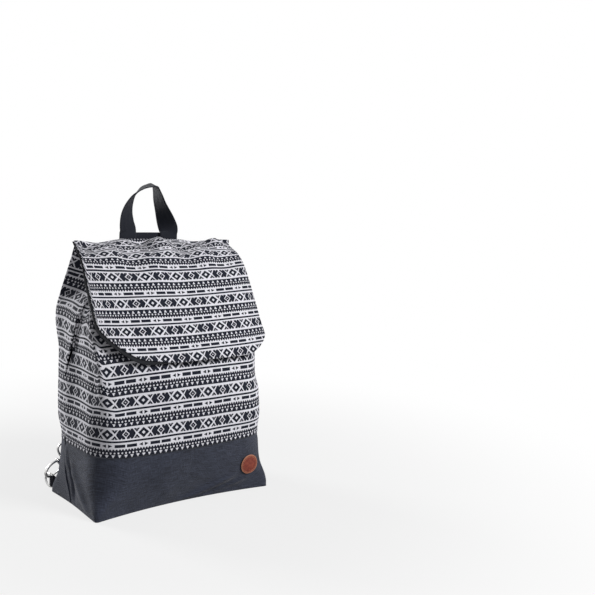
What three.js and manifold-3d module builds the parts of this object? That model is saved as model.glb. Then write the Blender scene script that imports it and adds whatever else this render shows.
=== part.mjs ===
// Flap backpack of patterned cloth with a canvas bottom, webbing handle and clip-on shoulder straps.
// Millimetres, +Z up, front towards -Y, origin at the middle of the base on the floor.
import * as THREE from 'three';
import { mergeVertices } from 'three/addons/utils/BufferGeometryUtils.js';
import Module from 'manifold-3d';

const wasm = await Module();
wasm.setup();

// Body sizes
const BODY_WIDTH = 300;
const BODY_DEPTH = 142;
const BODY_HEIGHT = 379;
const CANVAS_HEIGHT = 88;
const FRONT_HEIGHT = 292;
const TOP_WIDTH = 272;
const GUSSET_TUCK = 44;
const WING_HOLLOW = 12;
const CLOTH = 1.6;
const LINING = 1.0;
const GAP = 0.4;
const LINING_GAP = 2;
const LINING_SLACK = 5;

// Flap sizes
const FLAP_CLOTH = 1.4;
const FLAP_LINING = 1.0;
const FLAP_STANDOFF = 11;
const FLAP_BOTTOM = 218;
const FLAP_HANG = 28;
const FLAP_HANG_SIDE = 26;
const CREST_DROP = 7;
const CREST_DROP_SIDE = 12;
const FLAP_ROUND_START = 0.52;
const FLAP_ROUND_SHARE = 0.34;
const FLAP_RIGHT_START = 0.72;
const FLAP_RIGHT_SHARE = 0.18;

// Handle, strip and strap sizes
const WEBBING = 1.8;
const HANDLE_WIDTH = 30;
const HANDLE_RISE = 86;
const HANDLE_LEG_X = 36;
const HANDLE_LEAN = 8;
const STRIP_LENGTH = 94;
const STRIP_HEIGHT = 38;
const STRIP_RISE = 12;
const STRAP_WIDTH = 38;
const STRAP_TOP_X = 28;
const STRAP_SLACK = 30;
const STRAP_SPREAD = 6;
const STRAP_DROP = 90;
const STRAP_TAIL = 0.09;
const SLIDER_PLACE = 0.48;

// Trim sizes
const PATCH_RADIUS = 15.5;
const PATCH_THICK = 1.6;
const PATCH_INSET = 39;
const PATCH_Z = 42;
const CLASP_RADIUS = 9;
const CLASP_THICK = 2.4;
const CLASP_Z = 238;

// Metal fittings
const TAB_WIDTH = 16;
const TAB_THICK = 1.6;
const TAB_REACH = 8;
const TAB_SEAM = 1;
const RING_WIRE = 1.5;
const RING_DEPTH = 17;
const RING_HALF = 10;
const HOOK_WIRE = 2.1;
const HOOK_HALF_WIDTH = 8.4;
const HOOK_HALF_LENGTH = 15;
const HOOK_PLAY = 1.3;
const EYE_WIRE = 1.6;
const EYE_RISE = 33;
const BARREL_RADIUS = 5;
const STEM_RADIUS = 2.1;
const STEM_PLAY = 0.4;
const PIN_RADIUS = 1.2;
const PIN_PLAY = 0.3;
const GATE_RADIUS = 1.25;
const SLIDER_WIRE = 1.5;
const FRAME_PLAY = 3.5;

// Body stations from the base edge to the mouth; one row each, read by column name.
const HALF = BODY_WIDTH / 2;
const DEEP = BODY_DEPTH / 2;
const TOP_HALF = TOP_WIDTH / 2;
const RISE = FRONT_HEIGHT - CANVAS_HEIGHT;
const COLUMNS = [
  'zFront', 'zSeam', 'zBack',
  'halfFront', 'front', 'frontBulge', 'frontRound',
  'halfSeam', 'seamY', 'seamRound',
  'halfBack', 'back', 'backBulge', 'backRound',
];
const STATIONS = [
  [0, 0, 0, HALF, DEEP + 8, -14, 7, HALF - 4, 8, 30, HALF, DEEP, -10, 7],
  [12, 12, 12, HALF, DEEP + 7, -9, 10, HALF - 4, 12, 30, HALF, DEEP, -6, 12],
  [0.5, 0.5, 0.5, HALF - 4, DEEP + 5, 2, 20, HALF - 3, 30, 24, HALF - 8, DEEP - 3, 0, 24],
  [1, 1, 1, HALF - 6, DEEP + 2, 12, 26, HALF - 4, 34, 18, HALF - 10, DEEP - 7, 4, 26],
  [0.3, 0.3, 0.3, HALF - 6, DEEP - 1, 12, 19, HALF - 4, 36, 14, HALF - 8, DEEP + 1, 4, 22],
  [0.62, 0.62, 0.62, HALF - 6, DEEP - 8, 8, 13, HALF - 7, 24, 12, HALF - 3, DEEP, 4, 20],
  [0.88, 1, 0.96, HALF - 7, DEEP - 34, 5, 16, HALF - 11, -2, 12, HALF + 2, DEEP + 3, 2, 16],
  [1, 1.19, 1, TOP_HALF + 2, DEEP - 44, 4, 14, TOP_HALF - GUSSET_TUCK, 4, 10, TOP_HALF, DEEP - 27, 20, 10],
];

/** Heights are given as shares of the canvas and of the patterned part above it. */
function stationHeights(row, index) {
  if (index < 2) {
    return row.slice(0, 3);
  }
  if (index < 4) {
    return row.slice(0, 3).map((share) => share * CANVAS_HEIGHT);
  }
  const front = CANVAS_HEIGHT + row[0] * RISE;
  const seam = CANVAS_HEIGHT + row[1] * RISE;
  const back = index < STATIONS.length - 1 ? CANVAS_HEIGHT + row[2] * RISE : BODY_HEIGHT;
  return [front, seam, back];
}

const LEVELS = STATIONS.length - 1;
const SEAM_LEVEL = 3;
const stationValues = STATIONS.flatMap((row, index) => [...stationHeights(row, index), ...row.slice(3)]);
const stationCurve = new THREE.CubicInterpolant(
  STATIONS.map((row, index) => index),
  stationValues,
  COLUMNS.length,
  new Float64Array(COLUMNS.length),
);

/** One body station at any level between the base edge (0) and the mouth (LEVELS). */
function station(level) {
  const values = stationCurve.evaluate(level);
  return Object.fromEntries(COLUMNS.map((name, index) => [name, values[index]]));
}

const blend = THREE.MathUtils.lerp;
const vec = (x, y, z) => new THREE.Vector3(x, y, z);

/** Point on a quadratic curve that rounds the corner at b. */
function cornerPoint(a, b, c, t) {
  const keep = (1 - t) * (1 - t);
  const turn = 2 * t * (1 - t);
  return [0, 1, 2].map((k) => keep * a[k] + turn * b[k] + t * t * c[k]);
}

/** Point at a set distance from one corner towards another, at most just short of half way. */
function towards(from, to, distance) {
  const length = Math.hypot(to[0] - from[0], to[1] - from[1]);
  const share = Math.min(distance / length, 0.46);
  return from.map((value, k) => value + (to[k] - value) * share);
}

// Shares of the half outline, front centre to back centre, where each piece of the outline ends.
const OUTLINE = [0, 0.3, 0.4, 0.47, 0.53, 0.6, 0.7, 1];

/** Corner b of the outline a, b, c moved in so that both its sides lie a set distance further in. */
function insetCorner(a, b, c, distance) {
  const normal = (from, to) => {
    const length = Math.hypot(to[0] - from[0], to[1] - from[1]);
    return [(from[1] - to[1]) / length, (to[0] - from[0]) / length];
  };
  const before = normal(a, b);
  const after = normal(b, c);
  const scale = distance / (1 + before[0] * after[0] + before[1] * after[1]);
  return [b[0] + scale * (before[0] + after[0]), b[1] + scale * (before[1] + after[1]), b[2]];
}

/** Depth of the soft hollow in each side above the ledge at level 6, behind the seam. */
function wingHollow(w, level) {
  const across = Math.sin(Math.PI * THREE.MathUtils.clamp((w - 0.5) / 0.16, 0, 1)) ** 2;
  const rise = THREE.MathUtils.smoothstep(level, 6, 6.35);
  return WING_HOLLOW * across * rise * (1 - THREE.MathUtils.smoothstep(level, 6.6, LEVELS));
}

/** Body surface, or one inset from it: u is 0 at the front centre, 0.5 at the left seam, 1 at the back. */
function bodyPoint(u, level, inset = 0) {
  const turn = ((u % 2) + 2) % 2;
  const side = turn <= 1 ? -1 : 1;
  const w = turn <= 1 ? turn : 2 - turn;
  const s = station(level);
  const outline = [
    [0, -s.front, s.zFront],
    [s.halfFront, -s.front, s.zFront],
    [s.halfSeam, s.seamY, s.zSeam],
    [s.halfBack, s.back, s.zBack],
    [0, s.back, s.zBack],
  ];
  const frontMid = [0, -s.front + inset, s.zFront];
  const backMid = [0, s.back - inset, s.zBack];
  const [frontCorner, seam, backCorner] = [1, 2, 3]
    .map((k) => insetCorner(outline[k - 1], outline[k], outline[k + 1], inset));
  const ends = [
    frontMid,
    towards(frontCorner, frontMid, s.frontRound),
    towards(frontCorner, seam, s.frontRound),
    towards(seam, frontCorner, s.seamRound),
    towards(seam, backCorner, s.seamRound),
    towards(backCorner, seam, s.backRound),
    towards(backCorner, backMid, s.backRound),
    backMid,
  ];
  const corners = { 1: frontCorner, 3: seam, 5: backCorner };
  let piece = 0;
  while (piece < 6 && w > OUTLINE[piece + 1]) {
    piece += 1;
  }
  const t = (w - OUTLINE[piece]) / (OUTLINE[piece + 1] - OUTLINE[piece]);
  const flat = ends[piece].map((value, k) => blend(value, ends[piece + 1][k], t));
  const point = corners[piece] ? cornerPoint(ends[piece], corners[piece], ends[piece + 1], t) : flat;
  const bulgeAt = (half, round) => 1 - (Math.min(point[0], half - round) / half) ** 2;
  if (piece < 2) {
    point[1] -= s.frontBulge * bulgeAt(frontCorner[0], s.frontRound) * (piece === 1 ? (1 - t) ** 2 : 1);
  }
  if (piece > 4) {
    point[1] += s.backBulge * bulgeAt(backCorner[0], s.backRound) * (piece === 5 ? t * t : 1);
  }
  return vec(side * (point[0] - wingHollow(w, level)), point[1], point[2]);
}

/** Level at which the named height column reaches z. */
function levelAt(column, z) {
  let low = 0;
  let high = LEVELS;
  for (let step = 0; step < 40; step += 1) {
    const middle = (low + high) / 2;
    if (station(middle)[column] < z) {
      low = middle;
    } else {
      high = middle;
    }
  }
  return low;
}

/** Outer face of the front, as y at a place x, z. */
function frontY(x, z) {
  const s = station(levelAt('zFront', z));
  return -s.front - s.frontBulge * (1 - (x / s.halfFront) ** 2);
}

/** Outer face of the back, as y at a place x, z. */
function backY(x, z) {
  const s = station(levelAt('zBack', Math.min(z, BODY_HEIGHT)));
  return s.back + s.backBulge * (1 - (x / s.halfBack) ** 2);
}

/** Outward unit normal of a surface given as a function of two parameters. */
function surfaceNormal(surface, u, v, uRange, vRange) {
  const du = 1e-3 * (uRange[1] - uRange[0]);
  const dv = 1e-3 * (vRange[1] - vRange[0]);
  const u0 = Math.max(u - du, uRange[0]);
  const u1 = Math.min(u + du, uRange[1]);
  const v0 = Math.max(v - dv, vRange[0]);
  const v1 = Math.min(v + dv, vRange[1]);
  const along = surface(u1, v).sub(surface(u0, v));
  const up = surface(u, v1).sub(surface(u, v0));
  return up.cross(along).normalize();
}

/** Closed geometry from vertices and triangles. */
function meshOf(points, faces) {
  const geometry = new THREE.BufferGeometry();
  const flat = points.flatMap((point) => [point.x, point.y, point.z]);
  geometry.setAttribute('position', new THREE.Float32BufferAttribute(flat, 3));
  geometry.setIndex(faces.flat());
  return geometry;
}

/** Closed sheet between two depths below a surface, over a grid of its two parameters. */
function sheet(surface, us, vs, top, bottom) {
  const uRange = [us[0], us[us.length - 1]];
  const vRange = [vs[0], vs[vs.length - 1]];
  const points = [];
  const faces = [];
  const count = us.length * vs.length;
  for (const depth of [top, bottom]) {
    for (const v of vs) {
      for (const u of us) {
        const normal = surfaceNormal(surface, u, v, uRange, vRange);
        points.push(surface(u, v).addScaledVector(normal, -depth));
      }
    }
  }
  const at = (layer, i, j) => layer * count + j * us.length + i;
  const quad = (a, b, c, d) => faces.push([a, b, c], [a, c, d]);
  const lastU = us.length - 1;
  const lastV = vs.length - 1;
  for (let j = 0; j < lastV; j += 1) {
    for (let i = 0; i < lastU; i += 1) {
      quad(at(0, i, j), at(0, i, j + 1), at(0, i + 1, j + 1), at(0, i + 1, j));
      quad(at(1, i, j), at(1, i + 1, j), at(1, i + 1, j + 1), at(1, i, j + 1));
    }
    quad(at(0, 0, j), at(1, 0, j), at(1, 0, j + 1), at(0, 0, j + 1));
    quad(at(0, lastU, j), at(0, lastU, j + 1), at(1, lastU, j + 1), at(1, lastU, j));
  }
  for (let i = 0; i < lastU; i += 1) {
    quad(at(0, i, 0), at(0, i + 1, 0), at(1, i + 1, 0), at(1, i, 0));
    quad(at(0, i, lastV), at(1, i, lastV), at(1, i + 1, lastV), at(0, i + 1, lastV));
  }
  return meshOf(points, faces);
}

/** Body surface moved straight in by a depth. */
function sunkPoint(u, level, depth) {
  const normal = surfaceNormal(bodyPoint, u, level, [u - 1, u + 1], [0, LEVELS]);
  return bodyPoint(u, level).addScaledVector(normal, -depth);
}

/** Closed tub between two depths inside the body surface, with a flat floor, open at the top. */
function tub(wallPoint, us, levels, top, bottom) {
  const points = [];
  const faces = [];
  const rings = [];
  const shrink = [0.02, 0.5, 0.9];
  const wall = (depth, level) => us.map((u) => {
    const point = wallPoint(u, level, depth);
    point.z = level === levels[0] ? depth : Math.max(point.z, depth + 1);
    return point;
  });
  const addRing = (ring) => {
    rings.push(points.length);
    points.push(...ring);
  };
  for (const share of shrink) {
    addRing(wall(top, levels[0]).map((point) => vec(point.x * share, point.y * share, point.z)));
  }
  levels.forEach((level) => addRing(wall(top, level)));
  [...levels].reverse().forEach((level) => addRing(wall(bottom, level)));
  for (const share of [...shrink].reverse()) {
    addRing(wall(bottom, levels[0]).map((point) => vec(point.x * share, point.y * share, point.z)));
  }
  const n = us.length;
  for (let r = 0; r < rings.length - 1; r += 1) {
    for (let i = 0; i < n; i += 1) {
      const next = (i + 1) % n;
      const a = rings[r] + i;
      const b = rings[r] + next;
      const c = rings[r + 1] + next;
      const d = rings[r + 1] + i;
      faces.push([a, d, c], [a, c, b]);
    }
  }
  const closeFloor = (ring, depth, flip) => {
    const centre = points.length;
    points.push(vec(0, 0, depth));
    for (let i = 0; i < n; i += 1) {
      const next = (i + 1) % n;
      faces.push(flip ? [centre, ring + next, ring + i] : [centre, ring + i, ring + next]);
    }
  };
  closeFloor(rings[0], top, false);
  closeFloor(rings[rings.length - 1], bottom, true);
  return meshOf(points, faces);
}

/** Closed flat band swept along points; each point has its width and thickness directions. */
function ribbon(path, width, thick) {
  const points = [];
  const faces = [];
  for (const { at, across, out } of path) {
    for (const [w, t] of [[-1, -1], [1, -1], [1, 1], [-1, 1]]) {
      const corner = at.clone().addScaledVector(across, (w * width) / 2);
      points.push(corner.addScaledVector(out, (t * thick) / 2));
    }
  }
  for (let k = 0; k < path.length - 1; k += 1) {
    for (let i = 0; i < 4; i += 1) {
      const a = 4 * k + i;
      const b = 4 * k + ((i + 1) % 4);
      faces.push([a, b, b + 4], [a, b + 4, a + 4]);
    }
  }
  const last = 4 * (path.length - 1);
  faces.push([0, 2, 1], [0, 3, 2], [last, last + 1, last + 2], [last, last + 2, last + 3]);
  return meshOf(points, faces);
}

const steps = (from, to, count) => Array.from({ length: count + 1 }, (_, i) => blend(from, to, i / count));

/** Manifold solid of a closed geometry. */
function solid(geometry) {
  const bare = geometry.clone();
  bare.deleteAttribute('normal');
  bare.deleteAttribute('uv');
  const merged = mergeVertices(bare, 1e-4);
  const mesh = new wasm.Mesh({
    numProp: 3,
    vertProperties: new Float32Array(merged.attributes.position.array),
    triVerts: new Uint32Array(merged.index.array),
  });
  return new wasm.Manifold(mesh);
}

/** Geometry of a manifold solid. */
function geometryOf(body) {
  const mesh = body.getMesh();
  const geometry = new THREE.BufferGeometry();
  geometry.setAttribute('position', new THREE.BufferAttribute(mesh.vertProperties, 3));
  geometry.setIndex(new THREE.BufferAttribute(mesh.triVerts, 1));
  return geometry;
}

/** Same geometry turned so that its outside faces out. */
function outward(geometry) {
  const index = geometry.index.array;
  const place = geometry.attributes.position;
  let volume = 0;
  const corner = (k) => vec(0, 0, 0).fromBufferAttribute(place, index[k]);
  for (let k = 0; k < index.length; k += 3) {
    volume += corner(k).dot(corner(k + 1).cross(corner(k + 2)));
  }
  if (volume < 0) {
    for (let k = 0; k < index.length; k += 3) {
      [index[k + 1], index[k + 2]] = [index[k + 2], index[k + 1]];
    }
  }
  return geometry;
}

// Flap
const RIDGE_LIFT = FLAP_CLOTH + FLAP_LINING + 2 * GAP + 0.3;
const FLAP_HALF = TOP_HALF + 6;
const HANG_SHARE = 1 - FLAP_ROUND_SHARE;

/** Length share of the flap at the place t across it (-1 to 1), with rounded lower corners. */
function flapReach(t) {
  const start = t > 0 ? FLAP_RIGHT_START : FLAP_ROUND_START;
  const share = t > 0 ? FLAP_RIGHT_SHARE : FLAP_ROUND_SHARE;
  const into = Math.max(0, (Math.abs(t) - start) / (1 - start));
  const round = 1 - Math.max(0, 1 - into ** 1.45) ** (1 / 1.45);
  return 1 - share * round;
}

/** Outer flap surface: t across, s from the ridge (0) to the full lower edge (1). */
function flapSurface(t, s) {
  const edge = t * t;
  const x = t * blend(TOP_HALF, FLAP_HALF, THREE.MathUtils.smoothstep(s, 0, HANG_SHARE));
  const hangZ = blend(FRONT_HEIGHT - FLAP_HANG, FRONT_HEIGHT - FLAP_HANG_SIDE, edge);
  const standoff = blend(FLAP_STANDOFF, 0.7 * FLAP_STANDOFF, edge);
  if (s >= HANG_SHARE) {
    const z = blend(hangZ, FLAP_BOTTOM, (s - HANG_SHARE) / FLAP_ROUND_SHARE);
    return vec(x, frontY(x, z) - standoff, z);
  }
  const ridge = [backY(x, BODY_HEIGHT) - 2 * GAP, BODY_HEIGHT + RIDGE_LIFT];
  const hang = [frontY(x, hangZ) - standoff, hangZ];
  const slope = (frontY(x, hangZ + 2) - frontY(x, hangZ - 2)) / 4;
  const reach = ridge[0] - hang[0];
  const crestDrop = blend(CREST_DROP, CREST_DROP_SIDE, edge);
  const crest = [ridge[0] - blend(0.46, 0.3, edge) * reach, ridge[1] - crestDrop];
  const lift = 0.6 * (ridge[1] - hang[1]);
  const shoulder = [hang[0] + slope * lift, hang[1] + lift];
  const p = s / HANG_SHARE;
  const q = 1 - p;
  const weights = [q ** 3, 3 * q * q * p, 3 * q * p * p, p ** 3];
  const knots = [ridge, crest, shoulder, hang];
  const mix = (k) => knots.reduce((sum, knot, i) => sum + weights[i] * knot[k], 0);
  return vec(x, mix(0), mix(1));
}

const flapPoint = (t, s) => flapSurface(t, s * flapReach(t));
const flapHalf = [0.1, 0.3, 0.5, 0.65, 0.76, 0.85, 0.92, 0.97, 1];
const flapAcross = [...[...flapHalf].reverse().map((t) => -t), ...flapHalf];
const flapAlong = [1, 0.9, 0.8, 0.7, 0.63, 0.56, 0.48, 0.4, 0.32, 0.24, 0.16, 0.08, 0].map((s) => -s);
const flapDown = (t, s) => flapPoint(-t, -s);
const flapOuter = sheet(flapDown, flapAcross, flapAlong, 0, FLAP_CLOTH);
const liningDepth = FLAP_CLOTH + GAP;
const flapUnder = sheet(flapDown, flapAcross, flapAlong, liningDepth, liningDepth + FLAP_LINING);

// Body panels and lining
const halfU = [0, 0.075, 0.15, 0.225, 0.3, 0.333, 0.367, 0.4, 0.435, 0.47, 0.485];
const backU = [0.515, 0.53, 0.565, 0.6, 0.633, 0.667, 0.7, 0.775, 0.85, 0.925, 1];
const SEAM_GAP = 0.002;
const frontUs = [-0.5 + SEAM_GAP, ...[...halfU].reverse().map((u) => -u), ...halfU.slice(1), 0.5 - SEAM_GAP];
const backUs = [0.5 + SEAM_GAP, ...backU, ...[...backU].reverse().slice(1).map((u) => 2 - u), 1.5 - SEAM_GAP];
const tubUs = [...halfU, 0.5, ...backU, ...backU.slice(0, -1).reverse().map((u) => 2 - u), 1.5]
  .concat(halfU.slice(1).reverse().map((u) => 2 - u));
const SEAM_STEP = 0.008;
const risingLevels = [3.5, 4, 4.5, 5, 5.5, 6, 6.35, 6.7];
const upperLevels = [SEAM_LEVEL + SEAM_STEP, ...risingLevels, LEVELS];
const frontPanel = sheet(bodyPoint, frontUs, upperLevels, 0, CLOTH);
const backPanel = sheet(bodyPoint, backUs, upperLevels, 0, CLOTH);
const lowerLevels = [0, 0.5, 1, 1.5, 2, 2.5, SEAM_LEVEL];
const bottomPanel = tub(sunkPoint, tubUs, lowerLevels, 0, CLOTH);
const liningTop = CLOTH + LINING_GAP;
const LINING_LEVEL = LEVELS - 0.06;
const liningLevels = [0, 1, 2, SEAM_LEVEL, ...risingLevels, LINING_LEVEL];
const liningRoom = (level) => {
  const rise = THREE.MathUtils.smoothstep(level, 5.4, 6);
  return LINING_SLACK * rise * (1 - THREE.MathUtils.smoothstep(level, 6.7, LINING_LEVEL));
};
const liningPoint = (u, level, inset) => bodyPoint(u, level, inset + liningRoom(level));
const innerLining = tub(liningPoint, tubUs, liningLevels, liningTop, liningTop + LINING);

// Leather patch on the canvas front
const patchX = HALF - PATCH_INSET;
const patchPoint = (turn, share) => {
  const x = patchX + share * PATCH_RADIUS * Math.cos(turn);
  const z = PATCH_Z + share * PATCH_RADIUS * Math.sin(turn);
  return vec(x, frontY(x, z), z);
};

/** Closed round sheet that lies on the front face between two heights above it. */
function roundPatch(low, high) {
  const turns = steps(0, 2 * Math.PI, 28).slice(0, -1);
  const shares = [0.5, 1];
  const points = [];
  const faces = [];
  const n = turns.length;
  const lift = (point, height) => vec(point.x, point.y - height, point.z);
  points.push(lift(patchPoint(0, 0), low), lift(patchPoint(0, 0), high));
  const ring = (share, height) => {
    const first = points.length;
    turns.forEach((turn) => points.push(lift(patchPoint(turn, share), height)));
    return first;
  };
  const rings = [ring(shares[0], low), ring(1, low), ring(1, high), ring(shares[0], high)];
  for (let i = 0; i < n; i += 1) {
    const next = (i + 1) % n;
    faces.push([0, rings[0] + i, rings[0] + next]);
    faces.push([1, rings[3] + next, rings[3] + i]);
    for (let r = 0; r < 3; r += 1) {
      const a = rings[r] + i;
      const b = rings[r] + next;
      const c = rings[r + 1] + next;
      const d = rings[r + 1] + i;
      faces.push([a, d, c], [a, c, b]);
    }
  }
  return outward(meshOf(points, faces));
}

const patchLift = 2 * GAP;
const leatherPatch = roundPatch(patchLift, patchLift + PATCH_THICK);

// Press closure between the front and the flap
const claspSlope = (frontY(0, CLASP_Z + 3) - frontY(0, CLASP_Z - 3)) / 6;
const claspTilt = Math.atan(claspSlope);

/** Disc of the closure whose middle is a set distance in front of the front face. */
function claspDisc(distance) {
  const disc = new THREE.CylinderGeometry(CLASP_RADIUS, CLASP_RADIUS, CLASP_THICK, 24);
  disc.rotateX(-claspTilt);
  const y = frontY(0, CLASP_Z) - distance * Math.cos(claspTilt);
  disc.translate(0, y, CLASP_Z + distance * Math.sin(claspTilt));
  return disc;
}

const socketDistance = GAP + CLASP_THICK / 2;
const claspRoom = FLAP_STANDOFF * Math.cos(claspTilt) - FLAP_CLOTH - FLAP_LINING;
const studDistance = claspRoom - 3 * GAP - CLASP_THICK / 2;
const claspSocket = claspDisc(socketDistance);
const claspStud = claspDisc(studDistance);

// Handle and the strip that holds it
const LAY = 2 * GAP;
const layerY = LAY + WEBBING / 2;
const legTop = BODY_HEIGHT + STRIP_RISE;
const legEnd = legTop - STRIP_HEIGHT * 0.66;
const strapEnd = legEnd - 3;
const stripLow = legTop - STRIP_HEIGHT;
const peak = BODY_HEIGHT + HANDLE_RISE;
const legY = backY(HANDLE_LEG_X, BODY_HEIGHT) + layerY;
const archPoint = (across, lean, rise) =>
  vec(HANDLE_LEG_X * across, legY - HANDLE_LEAN * lean, blend(legTop, peak, rise));
const handleCurve = new THREE.CatmullRomCurve3([
  archPoint(-1, 0, 0),
  archPoint(-1, 0, 0.06),
  archPoint(-1.07, 0.1, 0.2),
  archPoint(-1.11, 0.3, 0.4),
  archPoint(-1.03, 0.55, 0.6),
  archPoint(-0.84, 0.8, 0.78),
  archPoint(-0.52, 1, 0.92),
  archPoint(-0.2, 1, 0.985),
  archPoint(0.1, 1, 1),
  archPoint(0.24, 0.9, 0.88),
  archPoint(0.4, 0.7, 0.67),
  archPoint(0.65, 0.4, 0.43),
  archPoint(0.88, 0.12, 0.19),
  archPoint(1, 0, 0.06),
  archPoint(1, 0, 0),
]);

/** Direction out of the back at the place x, z, seen from above. */
function backOut(x, z) {
  const slope = (backY(x + 1, z) - backY(x - 1, z)) / 2;
  return vec(-slope, 1, 0).normalize();
}

/** Handle leg sewn to the back below the strip's upper edge. */
function handleLeg(side, heights) {
  return heights.map((z) => {
    const x = side * HANDLE_LEG_X;
    const out = backOut(x, z).negate();
    return { at: vec(x, backY(x, z) + layerY, z), across: vec(-side * -out.y, side * -out.x, 0), out };
  });
}

/** Arch of the handle; the webbing makes half a turn from leg to leg, most of it past the top. */
function handleArch(count) {
  const left = backOut(-HANDLE_LEG_X, BODY_HEIGHT);
  const firstTurn = Math.atan2(-left.x, left.y);
  return steps(0, 1, count).map((t) => {
    const at = handleCurve.getPointAt(t);
    const along = handleCurve.getTangentAt(t);
    const turn = blend(firstTurn, Math.PI - firstTurn, 0.78 * t + 0.22 * t ** 6);
    const wish = vec(Math.cos(turn), Math.sin(turn), 0.12 * Math.sin(turn));
    const across = wish.addScaledVector(along, -wish.dot(along)).normalize();
    return { at, across, out: vec(0, 0, 0).crossVectors(across, along).normalize() };
  });
}

const leftLeg = handleLeg(-1, steps(legEnd, legTop, 3).slice(0, -1));
const rightLeg = handleLeg(1, steps(legTop, legEnd, 3).slice(1));
const handle = outward(ribbon([...leftLeg, ...handleArch(32), ...rightLeg], HANDLE_WIDTH, WEBBING));
const STRIP_GAP = 0.85;
const stripOffset = LAY + 2 * WEBBING + STRIP_GAP;
const stripSurface = (x, z) => vec(x, backY(x, z) + stripOffset, z);
const stripXs = steps(-STRIP_LENGTH / 2, STRIP_LENGTH / 2, 8);
const backStrip = outward(sheet(stripSurface, stripXs, steps(stripLow, legTop, 4), 0, WEBBING));

// Lower corner: where the tab leaves the bag, and the frame of the clip hook
const cornerLevel = levelAt('zBack', RING_HALF + RING_WIRE + 1);
const cornerSpot = bodyPoint(0.67, cornerLevel);
const ringZ = RING_HALF + RING_WIRE + 1;
const tabWay = vec(-0.15, 0.99, 0).normalize();
const barSpot = vec(cornerSpot.x, cornerSpot.y, ringZ).addScaledVector(tabWay, TAB_REACH);
const contactSpot = barSpot.clone().addScaledVector(tabWay, RING_DEPTH * 0.48).setZ(ringZ + RING_HALF);
const hookUp = vec(0.8, 0.05, 0.6).normalize();
const hookOut = vec(0, 1, 0).addScaledVector(hookUp, -hookUp.y).normalize();
const hookSide = vec(0, 0, 0).crossVectors(hookOut, hookUp).normalize();
const contactDrop = HOOK_HALF_LENGTH - HOOK_WIRE - RING_WIRE - HOOK_PLAY;
const hookSpot = contactSpot.clone().addScaledVector(hookUp, contactDrop);
const hookFrame = new THREE.Matrix4().makeBasis(hookSide, hookOut, hookUp).setPosition(hookSpot);

/** Ring of round wire along a closed loop of points. */
function wireLoop(points, radius, count) {
  const loop = new THREE.CatmullRomCurve3(points, true, 'centripetal');
  return new THREE.TubeGeometry(loop, count, radius, 8, true);
}

/** D-shaped ring with its straight bar upright in the tab. */
function dRing() {
  const half = RING_HALF;
  const deep = RING_DEPTH;
  const outline = [
    [0, -half + 3], [0, 0], [0, half - 3], [0.6, half - 0.9], [2.6, half], [deep * 0.35, half],
    [deep * 0.6, half * 0.9], [deep * 0.86, half * 0.58], [deep, 0],
    [deep * 0.86, -half * 0.58], [deep * 0.6, -half * 0.9], [deep * 0.35, -half],
    [2.6, -half], [0.6, -half + 0.9],
  ];
  const points = outline.map(([out, up]) => barSpot.clone().addScaledVector(tabWay, out).setZ(ringZ + up));
  return wireLoop(points, RING_WIRE, 32);
}

/** Webbing tab folded round the bar of the ring. */
function ringTab() {
  const bend = RING_WIRE + 1.5 * GAP + TAB_THICK / 2;
  const up = vec(0, 0, 1);
  const cross = vec(0, 0, 0).crossVectors(tabWay, up).normalize();
  const start = TAB_REACH - TAB_SEAM;
  const path = [];
  const leg = (sign, back, spread) => path.push({
    at: barSpot.clone().addScaledVector(tabWay, -back).addScaledVector(cross, sign * spread),
    across: up,
    out: cross.clone().multiplyScalar(sign),
  });
  leg(1, start, bend * 0.55);
  leg(1, 2, bend);
  for (const turn of steps(0, Math.PI, 8)) {
    const out = cross.clone().multiplyScalar(Math.cos(turn)).addScaledVector(tabWay, Math.sin(turn));
    path.push({ at: barSpot.clone().addScaledVector(out, bend), across: up, out });
  }
  leg(-1, 2, bend);
  leg(-1, start, bend * 0.55);
  return outward(ribbon(path, TAB_WIDTH, TAB_THICK));
}

// Clip hook in its own frame: x to the gate side, z from the ring end to the swivel
const shoulderLow = HOOK_HALF_LENGTH - 5.5;
const shoulderHigh = HOOK_HALF_LENGTH - 0.5;
const barrelLow = HOOK_HALF_LENGTH + 0.5;
const barrelHigh = barrelLow + 7;
const pinX = HOOK_HALF_WIDTH - 2.2;
const pinZ = (shoulderLow + shoulderHigh) / 2;
const KNUCKLE = PIN_RADIUS + PIN_PLAY + 1;
const slotHalf = GATE_RADIUS + 0.35;
const earHalf = slotHalf + 1.7;

const upright = (radius, low, high, sides) => {
  const pin = new THREE.CylinderGeometry(radius, radius, high - low, sides);
  pin.rotateX(Math.PI / 2);
  pin.translate(0, 0, (low + high) / 2);
  return pin;
};

const block = (x, y, z) => {
  const box = new THREE.BoxGeometry(x[1] - x[0], y[1] - y[0], z[1] - z[0]);
  box.translate((x[0] + x[1]) / 2, (y[0] + y[1]) / 2, (z[0] + z[1]) / 2);
  return box;
};

/** Round bar along a curve, closed at both ends. */
function roundBar(points, radius, count) {
  const circle = new THREE.Shape();
  circle.absarc(0, 0, radius, 0, 2 * Math.PI);
  const path = new THREE.CatmullRomCurve3(points);
  return new THREE.ExtrudeGeometry(circle, { steps: count, curveSegments: 4, extrudePath: path });
}

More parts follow.
